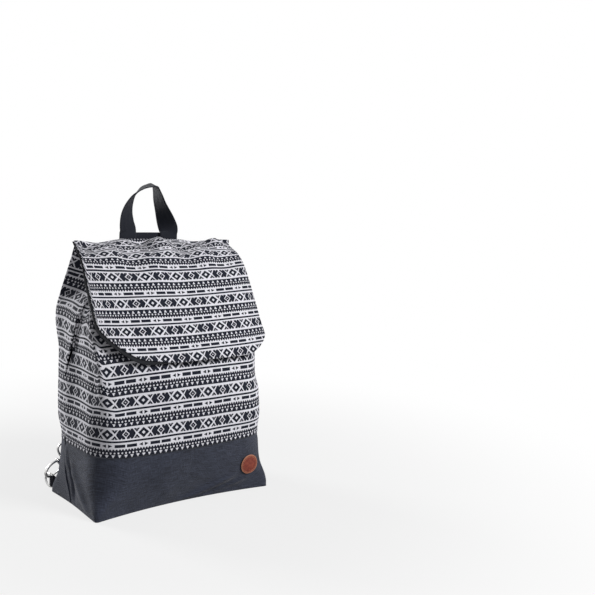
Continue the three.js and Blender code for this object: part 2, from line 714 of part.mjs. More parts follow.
/** Hook: shoulder with two ears and the gate pin, swivel stem, and the open bow. */
function snapHook() {
  const turns = steps(Math.PI * 0.6, Math.PI * 1.82, 12);
  const bowPoints = turns.map((turn) => vec(
    HOOK_HALF_WIDTH * Math.cos(turn),
    0,
    HOOK_HALF_LENGTH * Math.sin(turn) - 0.6,
  ));
  const shoulderX = [-HOOK_HALF_WIDTH + 0.4, HOOK_HALF_WIDTH + 0.4];
  const shoulder = block(shoulderX, [-earHalf, earHalf], [shoulderLow, shoulderHigh]);
  const slotX = [pinX - KNUCKLE - 0.5, HOOK_HALF_WIDTH + 3];
  const slot = block(slotX, [-slotHalf, slotHalf], [shoulderLow - 2, shoulderHigh + 2]);
  const pin = new THREE.CylinderGeometry(PIN_RADIUS, PIN_RADIUS, 2 * earHalf, 12);
  pin.translate(pinX, 0, pinZ);
  const stem = upright(STEM_RADIUS, shoulderHigh - 1, barrelHigh + 1.2, 14);
  const head = upright(STEM_RADIUS + 1.5, barrelHigh + 0.6, barrelHigh + 2.2, 14);
  const body = solid(shoulder).subtract(solid(slot)).add(solid(pin)).add(solid(stem)).add(solid(head));
  return geometryOf(body.add(solid(roundBar(bowPoints, HOOK_WIRE, 22))));
}

/** Gate: a knuckle on the pin and an arm that closes the bow. */
function hookGate() {
  const tipTurn = Math.PI * 1.82;
  const tipX = HOOK_HALF_WIDTH * Math.cos(tipTurn);
  const tipZ = HOOK_HALF_LENGTH * Math.sin(tipTurn) - 0.6;
  const end = vec(tipX + 0.5, 0, tipZ + 1.2);
  const knuckle = new THREE.CylinderGeometry(KNUCKLE, KNUCKLE, 2 * GATE_RADIUS, 16);
  knuckle.translate(pinX, 0, pinZ);
  const bore = new THREE.CylinderGeometry(PIN_RADIUS + PIN_PLAY, PIN_RADIUS + PIN_PLAY, 10, 16);
  bore.translate(pinX, 0, pinZ);
  const arm = roundBar([vec(pinX + 1, 0, pinZ - 1), vec(HOOK_HALF_WIDTH + 0.2, 0, 2), end], GATE_RADIUS, 6);
  return geometryOf(solid(knuckle).add(solid(arm)).subtract(solid(bore)));
}

/** Swivel eye: barrel round the hook's stem and a wide loop for the strap. */
function swivelEye() {
  const half = STRAP_WIDTH / 2 + FRAME_PLAY;
  const mid = (barrelLow + barrelHigh) / 2;
  const top = EYE_RISE;
  const points = [
    vec(0, 0, mid), vec(half * 0.5, 0, mid + 0.6), vec(half * 0.88, 0, mid + 3.4), vec(half, 0, mid + 8),
    vec(half * 0.985, 0, top - 2.4), vec(half * 0.9, 0, top), vec(half * 0.45, 0, top),
    vec(-half * 0.45, 0, top), vec(-half * 0.9, 0, top), vec(-half * 0.985, 0, top - 2.4),
    vec(-half, 0, mid + 8), vec(-half * 0.88, 0, mid + 3.4), vec(-half * 0.5, 0, mid + 0.6),
  ];
  const barrel = upright(BARREL_RADIUS, barrelLow, barrelHigh, 18);
  const bore = upright(STEM_RADIUS + STEM_PLAY, barrelLow - 4, barrelHigh + 4, 18);
  return geometryOf(solid(wireLoop(points, EYE_WIRE, 36)).add(solid(barrel)).subtract(solid(bore)));
}

// Shoulder strap: down the back, through the slider, round the eye and back up to the slider
const eyeBend = EYE_WIRE + GAP + WEBBING / 2;
const barBend = SLIDER_WIRE + GAP + WEBBING / 2;
const sliderOffset = barBend + WEBBING + GAP;
const eyeBar = vec(0, 0, EYE_RISE).applyMatrix4(hookFrame);
const strapLow = eyeBar.clone().addScaledVector(hookOut, eyeBend);
const strapTop = vec(-STRAP_TOP_X, backY(-STRAP_TOP_X, strapEnd) + layerY, strapEnd);
const strapNear = vec(-STRAP_TOP_X, backY(-STRAP_TOP_X, stripLow - 12) + layerY, stripLow - 12);
const strapCurve = new THREE.CubicBezierCurve3(
  strapNear,
  vec(-STRAP_TOP_X - STRAP_SPREAD, strapNear.y + STRAP_SLACK * 0.7, stripLow - STRAP_DROP),
  strapLow.clone().addScaledVector(hookUp, STRAP_DROP).add(vec(0, STRAP_SLACK * 0.4, 0)),
  strapLow,
);

/** Frame of the strap's outer layer at t. */
function strapFrame(t) {
  const along = strapCurve.getTangent(t);
  const lean = backOut(-STRAP_TOP_X, strapEnd).lerp(vec(0, 1, 0), THREE.MathUtils.smoothstep(t, 0, 0.4));
  const out = lean.addScaledVector(along, -lean.dot(along)).normalize();
  const across = vec(0, 0, 0).crossVectors(along, out).normalize();
  return { at: strapCurve.getPoint(t), along, out, across };
}

const sliderSpot = strapFrame(SLIDER_PLACE);
const sliderBar = sliderSpot.at.clone().addScaledVector(sliderSpot.out, -sliderOffset);

function shoulderStrap() {
  const path = [];
  const first = strapFrame(0);
  path.push({ at: strapTop, across: first.across, out: first.out });
  path.push({ at: strapTop.clone().lerp(strapNear, 0.5), across: first.across, out: first.out });
  for (const t of steps(0, 1, 20)) {
    const { at, out, across } = strapFrame(t);
    path.push({ at, across, out });
  }
  const low = strapFrame(1);
  for (const turn of steps(0, Math.PI, 8).slice(1)) {
    const out = low.out.clone().multiplyScalar(Math.cos(turn)).addScaledVector(low.along, Math.sin(turn));
    path.push({ at: eyeBar.clone().addScaledVector(out, eyeBend), across: low.across, out });
  }
  for (const t of steps(1, SLIDER_PLACE, 12).slice(1)) {
    const { at, out, across } = strapFrame(t);
    const share = THREE.MathUtils.smoothstep((1 - t) / (1 - SLIDER_PLACE), 0, 0.7);
    const under = blend(2 * eyeBend, sliderOffset + barBend, share);
    path.push({ at: at.addScaledVector(out, -under), across, out: out.clone().negate() });
  }
  for (const turn of steps(0, Math.PI, 8).slice(1)) {
    const out = sliderSpot.out.clone().multiplyScalar(-Math.cos(turn));
    out.addScaledVector(sliderSpot.along, -Math.sin(turn));
    path.push({ at: sliderBar.clone().addScaledVector(out, barBend), across: sliderSpot.across, out });
  }
  for (const t of steps(SLIDER_PLACE, SLIDER_PLACE + STRAP_TAIL, 2).slice(1)) {
    const { at, out, across } = strapFrame(t);
    path.push({ at: at.addScaledVector(out, barBend - sliderOffset), across, out });
  }
  return outward(ribbon(path, STRAP_WIDTH, WEBBING));
}

/** Slider: a bowed frame over the strap with a bar under it. */
function strapSlider() {
  const half = STRAP_WIDTH / 2 + FRAME_PLAY;
  const long = 9;
  const over = sliderOffset + WEBBING / 2 + GAP + SLIDER_WIRE + 0.6;
  const spot = (across, along, out) => sliderBar.clone()
    .addScaledVector(sliderSpot.across, across)
    .addScaledVector(sliderSpot.along, along)
    .addScaledVector(sliderSpot.out, out);
  const points = [
    spot(-half, 0, over * 0.4), spot(-half, long * 0.7, over * 0.8), spot(-half * 0.93, long, over),
    spot(0, long, over), spot(half * 0.93, long, over), spot(half, long * 0.7, over * 0.8),
    spot(half, 0, over * 0.4), spot(half, -long * 0.7, over * 0.8), spot(half * 0.93, -long, over),
    spot(0, -long, over), spot(-half * 0.93, -long, over), spot(-half, -long * 0.7, over * 0.8),
  ];
  const frame = solid(wireLoop(points, SLIDER_WIRE, 36));
  const bar = roundBar([
    spot(-half, 0, over * 0.4), spot(-half * 0.97, 0, 1), spot(-half * 0.9, 0, 0), spot(0, 0, 0),
    spot(half * 0.9, 0, 0), spot(half * 0.97, 0, 1), spot(half, 0, over * 0.4),
  ], SLIDER_WIRE, 14);
  return geometryOf(frame.add(solid(bar)));
}

/** The same fitting for the right-hand side. */
function mirrored(geometry) {
  const other = geometry.clone();
  other.scale(-1, 1, 1);
  return outward(other);
}

const indexed = (geometry) => {
  const bare = geometry.clone();
  bare.deleteAttribute('normal');
  bare.deleteAttribute('uv');
  return mergeVertices(bare, 1e-4);
};

const placed = (geometry) => geometry.applyMatrix4(hookFrame);

// Finishes
const finish = (color, roughness, metalness) => (
  new THREE.MeshStandardMaterial({ color, roughness, metalness })
);
const patternCloth = finish('#8d8d94', 0.92, 0);
const canvas = finish('#4b4e55', 0.95, 0);
const blackCloth = finish('#17181c', 0.9, 0);
const webbing = finish('#22242c', 0.85, 0);
const leather = finish('#8c4a35', 0.6, 0);
const nickel = finish('#c9cbd0', 0.25, 1);

const bag = new THREE.Group();
bag.name = 'flap_backpack';

/** Adds one named piece to the bag. */
function add(name, geometry, material) {
  const ready = geometry.index ? geometry : indexed(geometry);
  ready.deleteAttribute('uv');
  ready.computeVertexNormals();
  const mesh = new THREE.Mesh(ready, material);
  mesh.name = name;
  bag.add(mesh);
}

add('front_panel', frontPanel, patternCloth);
add('back_panel', backPanel, patternCloth);
add('bottom_panel', bottomPanel, canvas);
add('lining', innerLining, blackCloth);
add('flap_outer', flapOuter, patternCloth);
add('flap_lining', flapUnder, blackCloth);
add('handle', handle, webbing);
add('back_strip', backStrip, webbing);
add('leather_patch', leatherPatch, leather);
add('clasp_socket', indexed(claspSocket), nickel);
add('clasp_stud', indexed(claspStud), nickel);

const fittings = {
  shoulder_strap: [shoulderStrap(), webbing],
  strap_slider: [strapSlider(), nickel],
  swivel_eye: [placed(swivelEye()), nickel],
  snap_hook: [placed(snapHook()), nickel],
  hook_gate: [placed(hookGate()), nickel],
  d_ring: [indexed(dRing()), nickel],
  ring_tab: [ringTab(), webbing],
};
for (const [name, [geometry, material]] of Object.entries(fittings)) {
  add(`${name}_left`, outward(geometry), material);
  add(`${name}_right`, mirrored(geometry), material);
}

export default bag;
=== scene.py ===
"""Flap backpack of woven geometric cloth on a canvas bottom, with webbing and nickel fittings.

Forms are worked out in millimetres; a mesh is made in metres, in the part's own frame:
+Z up, front towards -Y, origin in the middle of the base.
"""
from __future__ import annotations

import logging
import math
from dataclasses import dataclass, field
from enum import Enum
from typing import Any, Callable

import bmesh
import bpy
import numpy as np
from mathutils import Matrix


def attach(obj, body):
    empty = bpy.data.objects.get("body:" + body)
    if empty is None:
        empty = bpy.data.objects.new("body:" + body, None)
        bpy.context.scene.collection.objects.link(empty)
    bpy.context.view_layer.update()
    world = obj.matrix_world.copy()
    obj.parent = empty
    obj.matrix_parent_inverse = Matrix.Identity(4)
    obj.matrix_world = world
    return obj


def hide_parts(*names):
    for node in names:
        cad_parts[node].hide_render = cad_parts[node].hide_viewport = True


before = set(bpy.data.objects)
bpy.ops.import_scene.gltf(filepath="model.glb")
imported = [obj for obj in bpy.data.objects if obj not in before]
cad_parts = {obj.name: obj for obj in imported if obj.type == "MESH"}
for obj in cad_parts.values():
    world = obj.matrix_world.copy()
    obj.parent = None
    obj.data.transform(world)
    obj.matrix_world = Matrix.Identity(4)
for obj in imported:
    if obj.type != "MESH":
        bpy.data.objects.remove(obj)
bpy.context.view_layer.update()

Array = np.ndarray
Colour = tuple[float, float, float, float]
LOG = logging.getLogger("backpack")
MM = 0.001
UV_NAME = "cloth"
WHITE = (1.0, 1.0, 1.0, 1.0)
WIRE_SIDES = 14
WIRE_TIP = 0.12
BACKWARDS = np.array([0.0, 1.0, 0.0])
UPWARDS = np.array([0.0, 0.0, 1.0])


class Side(Enum):
    """Which strap a fitting belongs to; the value is the sign that mirrors it."""

    LEFT = 1.0
    RIGHT = -1.0

    @property
    def word(self) -> str:
        """Word used in names."""
        return self.name.lower()


class Slot(Enum):
    """Names of material slots; each finish carries one, but nothing in the script gives a piece a slot."""

    PATTERN = "pattern_cloth"
    CANVAS = "canvas"
    BLACK = "black_cloth"
    WEBBING = "webbing"
    LEATHER = "leather"
    NICKEL = "nickel"


def lerp(a: Any, b: Any, t: Any) -> Any:
    """Straight blend from a (t = 0) to b (t = 1)."""
    return a + (b - a) * t


def smoothstep(x: Any, low: float, high: float) -> Array:
    """Smooth ramp from 0 at low to 1 at high: 3 t^2 - 2 t^3."""
    t = np.clip((np.asarray(x, float) - low) / (high - low), 0.0, 1.0)
    return t * t * (3.0 - 2.0 * t)


def bell(x: Any, centre: float, width: float) -> Array:
    """Bell curve of height 1: exp(-((x - centre) / width)^2)."""
    return np.exp(-(((np.asarray(x, float) - centre) / width) ** 2))


def unit(vectors: Any) -> Array:
    """Vectors scaled to length 1."""
    vectors = np.asarray(vectors, float)
    return vectors / np.maximum(np.linalg.norm(vectors, axis=-1, keepdims=True), 1e-12)


def lengths(grid: Array, axis: int) -> Array:
    """Arc length along one axis of a grid of points, from its first row or column."""
    step = np.linalg.norm(np.diff(grid, axis=axis), axis=-1)
    return np.concatenate([np.zeros_like(step.take([0], axis)), np.cumsum(step, axis)], axis)


def soften(grid: Array, axis: int, passes: int) -> Array:
    """Grid smoothed along one axis by the weights 1/4, 1/2, 1/4, with its ends kept.

    Args:
        grid: Points or values.
        axis: Axis along which it is smoothed.
        passes: How many times.

    Returns:
        The smoothed grid.
    """
    grid = np.moveaxis(np.array(grid, float), axis, 0)
    for _ in range(passes):
        grid[1:-1] = 0.25 * grid[:-2] + 0.5 * grid[1:-1] + 0.25 * grid[2:]
    return np.moveaxis(grid, 0, axis)


def smooth_path(knots: Any, per: int, closed: bool = False) -> Array:
    """Centripetal Catmull-Rom curve through knots, with a number of steps per span.

    Each span is a cubic from knot 1 to knot 2 whose end slopes come from the neighbouring knots,
    with knot distances to the power 1/2 as the parameter.

    Args:
        knots: Points (k, 3) that the curve passes.
        per: Steps in each span.
        closed: Whether the last knot leads back to the first.

    Returns:
        Points (n, 3); a closed curve does not repeat its first point.
    """
    p = np.asarray(knots, float)
    if closed:
        quads = [np.roll(p, shift, 0) for shift in (1, 0, -1, -2)]
    else:
        long = np.concatenate([[2 * p[0] - p[1]], p, [2 * p[-1] - p[-2]]])
        quads = [long[:-3], long[1:-2], long[2:-1], long[3:]]
    p0, p1, p2, p3 = quads
    d0, d1, d2 = (np.sqrt(np.linalg.norm(b - a, axis=1, keepdims=True)) for a, b in zip(quads, quads[1:]))
    m1 = d1 * ((p1 - p0) / d0 - (p2 - p0) / (d0 + d1) + (p2 - p1) / d1)
    m2 = d1 * ((p2 - p1) / d1 - (p3 - p1) / (d1 + d2) + (p3 - p2) / d2)
    t = (np.arange(per) / per)[None, :, None]
    p1, p2, m1, m2 = (a[:, None] for a in (p1, p2, m1, m2))
    curve = p1 + m1 * t + (3 * (p2 - p1) - 2 * m1 - m2) * t**2 + (2 * (p1 - p2) + m1 + m2) * t**3
    curve = curve.reshape(-1, 3)
    return curve if closed else np.concatenate([curve, p[-1:]])


def directions(path: Array, closed: bool = False) -> Array:
    """Unit tangents of a path by central differences."""
    step = np.roll(path, -1, 0) - np.roll(path, 1, 0) if closed else np.gradient(path, axis=0)
    return unit(step)


def resampled(values: Array, run: Array, at: Array) -> Array:
    """Vectors (n, 3) known at the lengths run, read off at other lengths."""
    return np.stack([np.interp(at, run, values[:, k]) for k in range(3)], -1)


def square_to(wish: Array, along: Array) -> Array:
    """Unit vectors square to along that come nearest to the wished ones."""
    return unit(wish - np.sum(wish * along, axis=1, keepdims=True) * along)


def circle(sides: int) -> Array:
    """Points of the unit circle (sides, 2)."""
    turn = np.linspace(0, 2 * np.pi, sides, endpoint=False)
    return np.stack([np.cos(turn), np.sin(turn)], -1)


@dataclass
class Surface:
    """Points in millimetres, faces as lists of point numbers, and the cloth coordinates of each point."""

    points: Array
    faces: list[list[int]]
    uv: Array

    @staticmethod
    def merged(parts: list["Surface"]) -> "Surface":
        """Several surfaces as one.

        Args:
            parts: The surfaces.

        Returns:
            One surface with all their points and faces.
        """
        starts = np.cumsum([0] + [len(part.points) for part in parts]).tolist()
        faces = [[k + start for k in face] for part, start in zip(parts, starts) for face in part.faces]
        points, uv = (np.concatenate([getattr(part, name) for part in parts]) for name in ("points", "uv"))
        return Surface(points, faces, uv)

    def mirrored(self, side: Side) -> "Surface":
        """The same surface for the given side; the right one has x turned round.

        Args:
            side: Side on which it is wanted.

        Returns:
            The surface, with its faces still outwards.
        """
        if side is Side.LEFT:
            return self
        flipped = self.points * np.array([-1.0, 1.0, 1.0])
        return Surface(flipped, [face[::-1] for face in self.faces], self.uv)


def grid_normals(grid: Array, wrap: bool = False) -> Array:
    """Unit normals of a grid: step along the rows' direction crossed with step along the columns'.

    Args:
        grid: Points (rows, columns, 3).
        wrap: Whether the last column joins the first.

    Returns:
        Unit vectors in the grid's shape.
    """
    down = np.gradient(grid, axis=0)
    if wrap:
        across = np.roll(grid, -1, 1) - np.roll(grid, 1, 1)
    else:
        across = np.gradient(grid, axis=1)
    return unit(np.cross(down, across))


def grid_faces(rows: int, columns: int, wrap: bool = False, closed: bool = False) -> Array:
    """Four-cornered faces of a grid of points numbered row by row.

    Args:
        rows: Rows of the grid.
        columns: Columns of the grid.
        wrap: Whether the last column joins the first.
        closed: Whether the last row joins the first.

    Returns:
        Point numbers (faces, 4).
    """
    number = np.arange(rows * columns).reshape(rows, columns)
    if wrap:
        number = np.concatenate([number, number[:, :1]], axis=1)
    if closed:
        number = np.concatenate([number, number[:1]], axis=0)
    corners = [number[:-1, :-1], number[1:, :-1], number[1:, 1:], number[:-1, 1:]]
    return np.stack(corners, -1).reshape(-1, 4)


def closed_round(grid: Array) -> Array:
    """Grid with its first column added again after its last."""
    return np.concatenate([grid, grid[:, :1]], axis=1)


def cloth(grid: Array, thick: float, uv: Array, tub: bool = False) -> Surface:
    """Closed sheet of cloth whose outer face is a grid and whose inner face lies a thickness behind it.

    Along its edge, between the two faces, runs a line half a thickness further out. A tub runs from a
    small ring in its floor, which is filled on both faces, up to an open rim.

    Args:
        grid: Outer face (rows, columns, 3).
        thick: Thickness of the cloth.
        uv: Cloth coordinates (rows, columns, 2), in millimetres.
        tub: Whether the columns close on themselves.

    Returns:
        The closed surface.
    """
    rows, columns = grid.shape[:2]
    count = rows * columns
    inner = grid - thick * grid_normals(grid, tub)
    number = np.arange(count).reshape(rows, columns)
    if tub:
        edge = number[-1, ::-1]
        caps = [list(range(columns)), [count + k for k in reversed(range(columns))]]
    else:
        edge = np.concatenate([number[:, 0], number[-1, 1:], number[-2::-1, -1], number[0, -2:0:-1]])
        caps = []
    r, c = np.divmod(edge, columns)
    near = grid[np.clip(r, 1, rows - 2), c if tub else np.clip(c, 1, columns - 2)]
    middle = (grid[r, c] + inner[r, c]) / 2 + 0.5 * thick * unit(grid[r, c] - near)
    rings = (edge, 2 * count + np.arange(len(edge)), edge + count)
    strips = [np.stack([np.roll(low, -1), low, high, np.roll(high, -1)], -1)
              for low, high in zip(rings, rings[1:])]
    faces = grid_faces(rows, columns, wrap=tub)
    every = np.concatenate([faces, faces[:, ::-1] + count, *strips]).tolist() + caps
    flat = uv.reshape(-1, 2)
    points = np.concatenate([grid.reshape(-1, 3), inner.reshape(-1, 3), middle])
    return Surface(points, every, np.concatenate([flat, flat, uv[r, c]]))


def sweep(path: Array, across: Array, out: Array, section: Array, closed: bool = False) -> Surface:
    """Profile carried along a path: point = path + a * across + b * out for each profile point (a, b).

    Args:
        path: Points (n, 3).
        across: Unit vectors (n, 3) for the profile's first coordinate.
        out: Unit vectors (n, 3) for the profile's second coordinate.
        section: Closed convex profile (k, 2), or one profile for each point (n, k, 2).
        closed: Whether the path closes on itself.

    Returns:
        Surface with flat ends, and with the profile's first coordinate and the length as its cloth
        coordinates.
    """
    n, k = len(path), section.shape[-2]
    section = np.broadcast_to(section, (n, k, 2))
    grid = path[:, None] + section[..., :1] * across[:, None] + section[..., 1:] * out[:, None]
    turned_over = [0, 3, 2, 1]
    faces = grid_faces(n, k, wrap=True, closed=closed)[:, turned_over].tolist()
    if not closed:
        faces.append(list(reversed(range(k))))
        faces.append(list(range((n - 1) * k, n * k)))
    along = lengths(path, 0)
    uv = np.stack([section[..., 0], np.broadcast_to(along[:, None], (n, k))], -1)
    return Surface(grid.reshape(-1, 3), faces, uv.reshape(-1, 2))


def wire(path: Array, plane: Any, radius: float, closed: bool = False) -> Surface:
    """Round wire along a path that lies nearly in one plane; open ends are rounded off.

    Args:
        path: Points (n, 3).
        plane: Normal of the plane in which the path mostly lies.
        radius: Radius of the wire.
        closed: Whether the path closes on itself.

    Returns:
        The wire's surface.
    """
    section = radius * circle(WIRE_SIDES)
    if not closed:
        way = directions(path)
        turn = np.linspace(0, np.pi / 2, 5)[:-1]
        head = path[0] - np.outer(radius * np.cos(turn), way[0])
        tail = path[-1] + np.outer(radius * np.cos(turn), way[-1])[::-1]
        scale = np.concatenate([np.sin(turn), np.ones(len(path)), np.sin(turn)[::-1]])
        scale = np.maximum(scale, WIRE_TIP)
        path = np.concatenate([head, path, tail])
        section = section[None] * scale[:, None, None]
    along = directions(path, closed)
    across = square_to(np.broadcast_to(np.asarray(plane, float), along.shape), along)
    return sweep(path, across, np.cross(across, along), section, closed)


def wire_loop(knots: Any, plane: Any, radius: float) -> Surface:
    """Closed round wire through knots that lie nearly in one plane."""
    return wire(smooth_path(knots, 8, closed=True), plane, radius, closed=True)


def band_section(width: float, thick: float, columns: int = 13) -> Array:
    """Profile of webbing: flat faces, rounded edges and a slightly thicker selvedge along each edge.

    Args:
        width: Width of the webbing.
        thick: Its thickness.
        columns: Points across one face.

    Returns:
        Closed profile (k, 2).
    """
    s = np.sin(np.linspace(-np.pi / 2, np.pi / 2, columns))
    half = 0.5 * thick * (1 - np.abs(s) ** 10) ** 0.5 * (1 + 0.16 * bell(np.abs(s), 0.88, 0.07))
    upper = np.stack([s * width / 2, half], -1)
    lower = np.stack([s * width / 2, -half], -1)[::-1][1:-1]
    return np.concatenate([upper, lower])[::-1]


@dataclass(frozen=True)
class Axes:
    """Local frame: origin and three unit vectors as rows."""

    origin: Array
    basis: Array

    def place(self, local: Any) -> Array:
        """Points from the local frame to the part's frame."""
        return self.origin + np.asarray(local, float) @ self.basis


def turned(profile: Any, axes: Axes, sides: int = 28) -> Surface:
    """Solid of revolution about the local third axis: (r cos a, r sin a, h) for each (r, h).

    Args:
        profile: Closed list of (radius, height), anticlockwise seen with the radius to the right.
        axes: Local frame.
        sides: Steps round the axis.

    Returns:
        The closed surface.
    """
    profile = np.asarray(profile, float)
    wide = profile[None, :, :1] * circle(sides)[:, None]
    high = np.broadcast_to(profile[None, :, 1:], (sides, len(profile), 1))
    faces = grid_faces(sides, len(profile), wrap=True, closed=True).tolist()
    points = axes.place(np.concatenate([wide, high], -1).reshape(-1, 3))
    return Surface(points, faces, points[:, :2])


def stitch_row(places: Array, along: Array, out: Array, length: float, radius: float) -> Surface:
    """Row of thread stitches: small spindles that lie on a surface, half sunk into it.

    Each spindle has rings at -1, -0.6, 0, 0.6 and 1 of half its length, with radius
    radius * (1 - p^2)^(1/2) and a least radius of a fifth.

    Args:
        places: Middle of each stitch (n, 3).
        along: Direction of each stitch (n, 3).
        out: Outward direction of each stitch (n, 3).
        length: Length of a stitch.
        radius: Radius of the thread.

    Returns:
        All stitches as one surface.
    """
    p = np.array([-1.0, -0.6, 0.0, 0.6, 1.0])
    size = radius * np.maximum(np.sqrt(1 - p**2), 0.2)
    across = unit(np.cross(along, out))
    out = unit(np.cross(across, along))
    local = circle(6)[None] * size[:, None, None]
    points = (places[:, None, None]
              + 0.5 * length * p[None, :, None, None] * along[:, None, None]
              + local[None, ..., :1] * across[:, None, None]
              + (local[None, ..., 1:] + 0.25 * radius) * out[:, None, None])
    n, rings, sides = points.shape[:3]
    one = grid_faces(rings, sides, wrap=True)
    start = np.arange(n)[:, None, None] * rings * sides
    faces = (one[None] + start).reshape(-1, 4).tolist()
    first = np.arange(sides)[::-1]
    last = (rings - 1) * sides + np.arange(sides)
    faces += (start[:, 0] + first).tolist() + (start[:, 0] + last).tolist()
    flat = points.reshape(-1, 3)
    return Surface(flat, faces, flat[:, :2])


def spaced(path: Array, pitch: float) -> tuple[Array, Array]:
    """Evenly spaced places on a path and the path's direction there.

    Args:
        path: Points (n, 3).
        pitch: Wanted distance between places.

    Returns:
        Places (m, 3) and unit directions (m, 3).
    """
    run = lengths(path, 0)
    count = max(2, int(round(run[-1] / pitch)))
    at = (np.arange(count) + 0.5) * run[-1] / count
    return resampled(path, run, at), unit(resampled(directions(path), run, at))


def maths(operation: str, swapped: bool = False) -> Callable[..., "Value"]:
    """Method that adds a Math node.

    Args:
        operation: What the node does.
        swapped: Whether the value itself comes after the other one.

    Returns:
        The method, for the body of the class Value.
    """
    def method(self: "Value", *others: Any) -> "Value":
        """Math node of the operation on this value and the others."""
        parts = (*others, self) if swapped else (self, *others)
        return self.kit.node("ShaderNodeMath", {"operation": operation}, dict(enumerate(parts)))

    return method


class Value:
    """Socket of a tree of nodes; arithmetic on it adds Math nodes, and a comparison gives 0 or 1."""

    def __init__(self, kit: "NodeKit", socket: Any) -> None:
        self.kit = kit
        self.socket = socket

    __add__ = maths("ADD")
    __radd__ = maths("ADD", swapped=True)
    __sub__ = maths("SUBTRACT")
    __rsub__ = maths("SUBTRACT", swapped=True)
    __mul__ = maths("MULTIPLY")
    __rmul__ = maths("MULTIPLY", swapped=True)
    __truediv__ = maths("DIVIDE")
    __lt__ = maths("LESS_THAN")
    __gt__ = maths("GREATER_THAN")
    __or__ = maths("MAXIMUM")
    __abs__ = maths("ABSOLUTE")
    fract = maths("FRACT")
    floor = maths("FLOOR")
    sine = maths("SINE")

    def stepped(self, pitch: float) -> "Value":
        """Value held constant over each yarn of a pitch."""
        return (self / pitch).floor() * pitch + 0.5 * pitch

    def around(self, period: float) -> "Value":
        """Distance from the nearest place of a repeat, from minus half to plus half of it."""
        return ((self / period + 0.5).fract() - 0.5) * period

    def wave(self, pitch: float) -> "Value":
        """Sine with a whole turn over each pitch."""
        return (self * (2 * math.pi / pitch)).sine()

    def ramp(self, low: float, high: float) -> "Value":
        """Smooth ramp from 0 at low to 1 at high."""
        settings = {"interpolation_type": "SMOOTHSTEP"}
        return self.kit.node("ShaderNodeMapRange", settings, {0: self, 1: low, 2: high})


class NodeKit:
    """Nodes of one material or world."""

    def __init__(self, owner: bpy.types.Material | bpy.types.World) -> None:
        """Leaves the owner with only its output node.

        Args:
            owner: Material or world.
        """
        owner.use_nodes = True
        self.owner = owner
        self.tree = owner.node_tree
        self.tree.nodes.clear()
        kind = "World" if isinstance(owner, bpy.types.World) else "Material"
        self.output = self.tree.nodes.new(f"ShaderNodeOutput{kind}")

    def node(self, kind: str, settings: dict | None = None, inputs: dict | None = None,
             out: int | str = 0) -> Value:
        """Adds any node.

        Args:
            kind: Node type.
            settings: Properties of the node, set before its sockets.
            inputs: Values or links of its sockets, by number or name.
            out: Number or name of the output that is wanted.

        Returns:
            The output as a value.
        """
        node = self.tree.nodes.new(kind)
        for key, value in (settings or {}).items():
            setattr(node, key, value)
        for key, value in (inputs or {}).items():
            if isinstance(value, Value):
                self.tree.links.new(value.socket, node.inputs[key])
            else:
                node.inputs[key].default_value = value
        return Value(self, node.outputs[out])

    def mix(self, share: Any, first: Any, second: Any) -> Value:
        """Colour between two colours."""
        return self.node("ShaderNodeMix", {"data_type": "RGBA"}, {0: share, 6: first, 7: second}, out=2)

    def cloth(self) -> tuple[Value, Value]:
        """Cloth coordinates of the piece in millimetres."""
        vector = self.node("ShaderNodeUVMap", {"uv_map": UV_NAME})
        return tuple(self.node("ShaderNodeSeparateXYZ", None, {0: vector}, out=axis) * 1000.0
                     for axis in "XY")

    def noise(self, vector: Value, scale: float, detail: float = 2.0, rough: float = 0.5) -> Value:
        """Noise from 0 to 1."""
        inputs = {"Vector": vector, "Scale": scale, "Detail": detail, "Roughness": rough}
        return self.node("ShaderNodeTexNoise", None, inputs)

    def stretched(self, u: Any, v: Any, w: Any = 0.0) -> Value:
        """Vector from three values."""
        return self.node("ShaderNodeCombineXYZ", None, {0: u, 1: v, 2: w})

    def fibres(self, u: Any, v: Any, w: Any = 0.0) -> Value:
        """Fibre noise, longer in the direction whose coordinate is scaled down more."""
        return self.noise(self.stretched(u, v, w), 1.0, 3.0, 0.6)

    def cloud(self, u: Any, v: Any, w: Any = 0.0) -> Value:
        """Broad, soft noise."""
        return self.noise(self.stretched(u, v, w), 1.0)

    def length(self, vector: Value) -> Value:
        """Length of a vector."""
        return self.node("ShaderNodeVectorMath", {"operation": "LENGTH"}, {0: vector}, out="Value")

    def place(self) -> Value:
        """Object coordinates."""
        return self.node("ShaderNodeTexCoord", out="Object")

    def bump(self, height: Value, strength: float, distance: float) -> Value:
        """Normal from a height."""
        inputs = {"Strength": strength, "Distance": distance, "Height": height}
        return self.node("ShaderNodeBump", None, inputs)

    def join(self, shader: Value) -> None:
        """Joins a shader to the output."""
        self.tree.links.new(shader.socket, self.output.inputs["Surface"])

    def surface(self, **inputs: Any) -> None:
        """Principled shader with the given sockets, joined to the output."""
        named = {key.replace("_", " "): value for key, value in inputs.items()}
        self.join(self.node("ShaderNodeBsdfPrincipled", None, named))


def srgb(red: int, green: int, blue: int) -> Colour:
    """Colour written as screen values 0 to 255, as linear values."""
    share = np.array([red, green, blue]) / 255.0
    return (*np.where(share <= 0.04045, share / 12.92, ((share + 0.055) / 1.055) ** 2.4).tolist(), 1.0)


@dataclass(frozen=True)
class Finish:
    """Finish of a piece; its material is made once and shared."""

    name: str
    slot: Slot

    def material(self) -> bpy.types.Material:
        """The finish as a material.

        Returns:
            The material, the same one for every piece.
        """
        known = bpy.data.materials.get(self.name)
        if known is not None:
            return known
        kit = NodeKit(bpy.data.materials.new(self.name))
        self.paint(kit)
        return kit.owner

    def paint(self, kit: NodeKit) -> None:
        """Adds the finish's nodes."""
        raise NotImplementedError


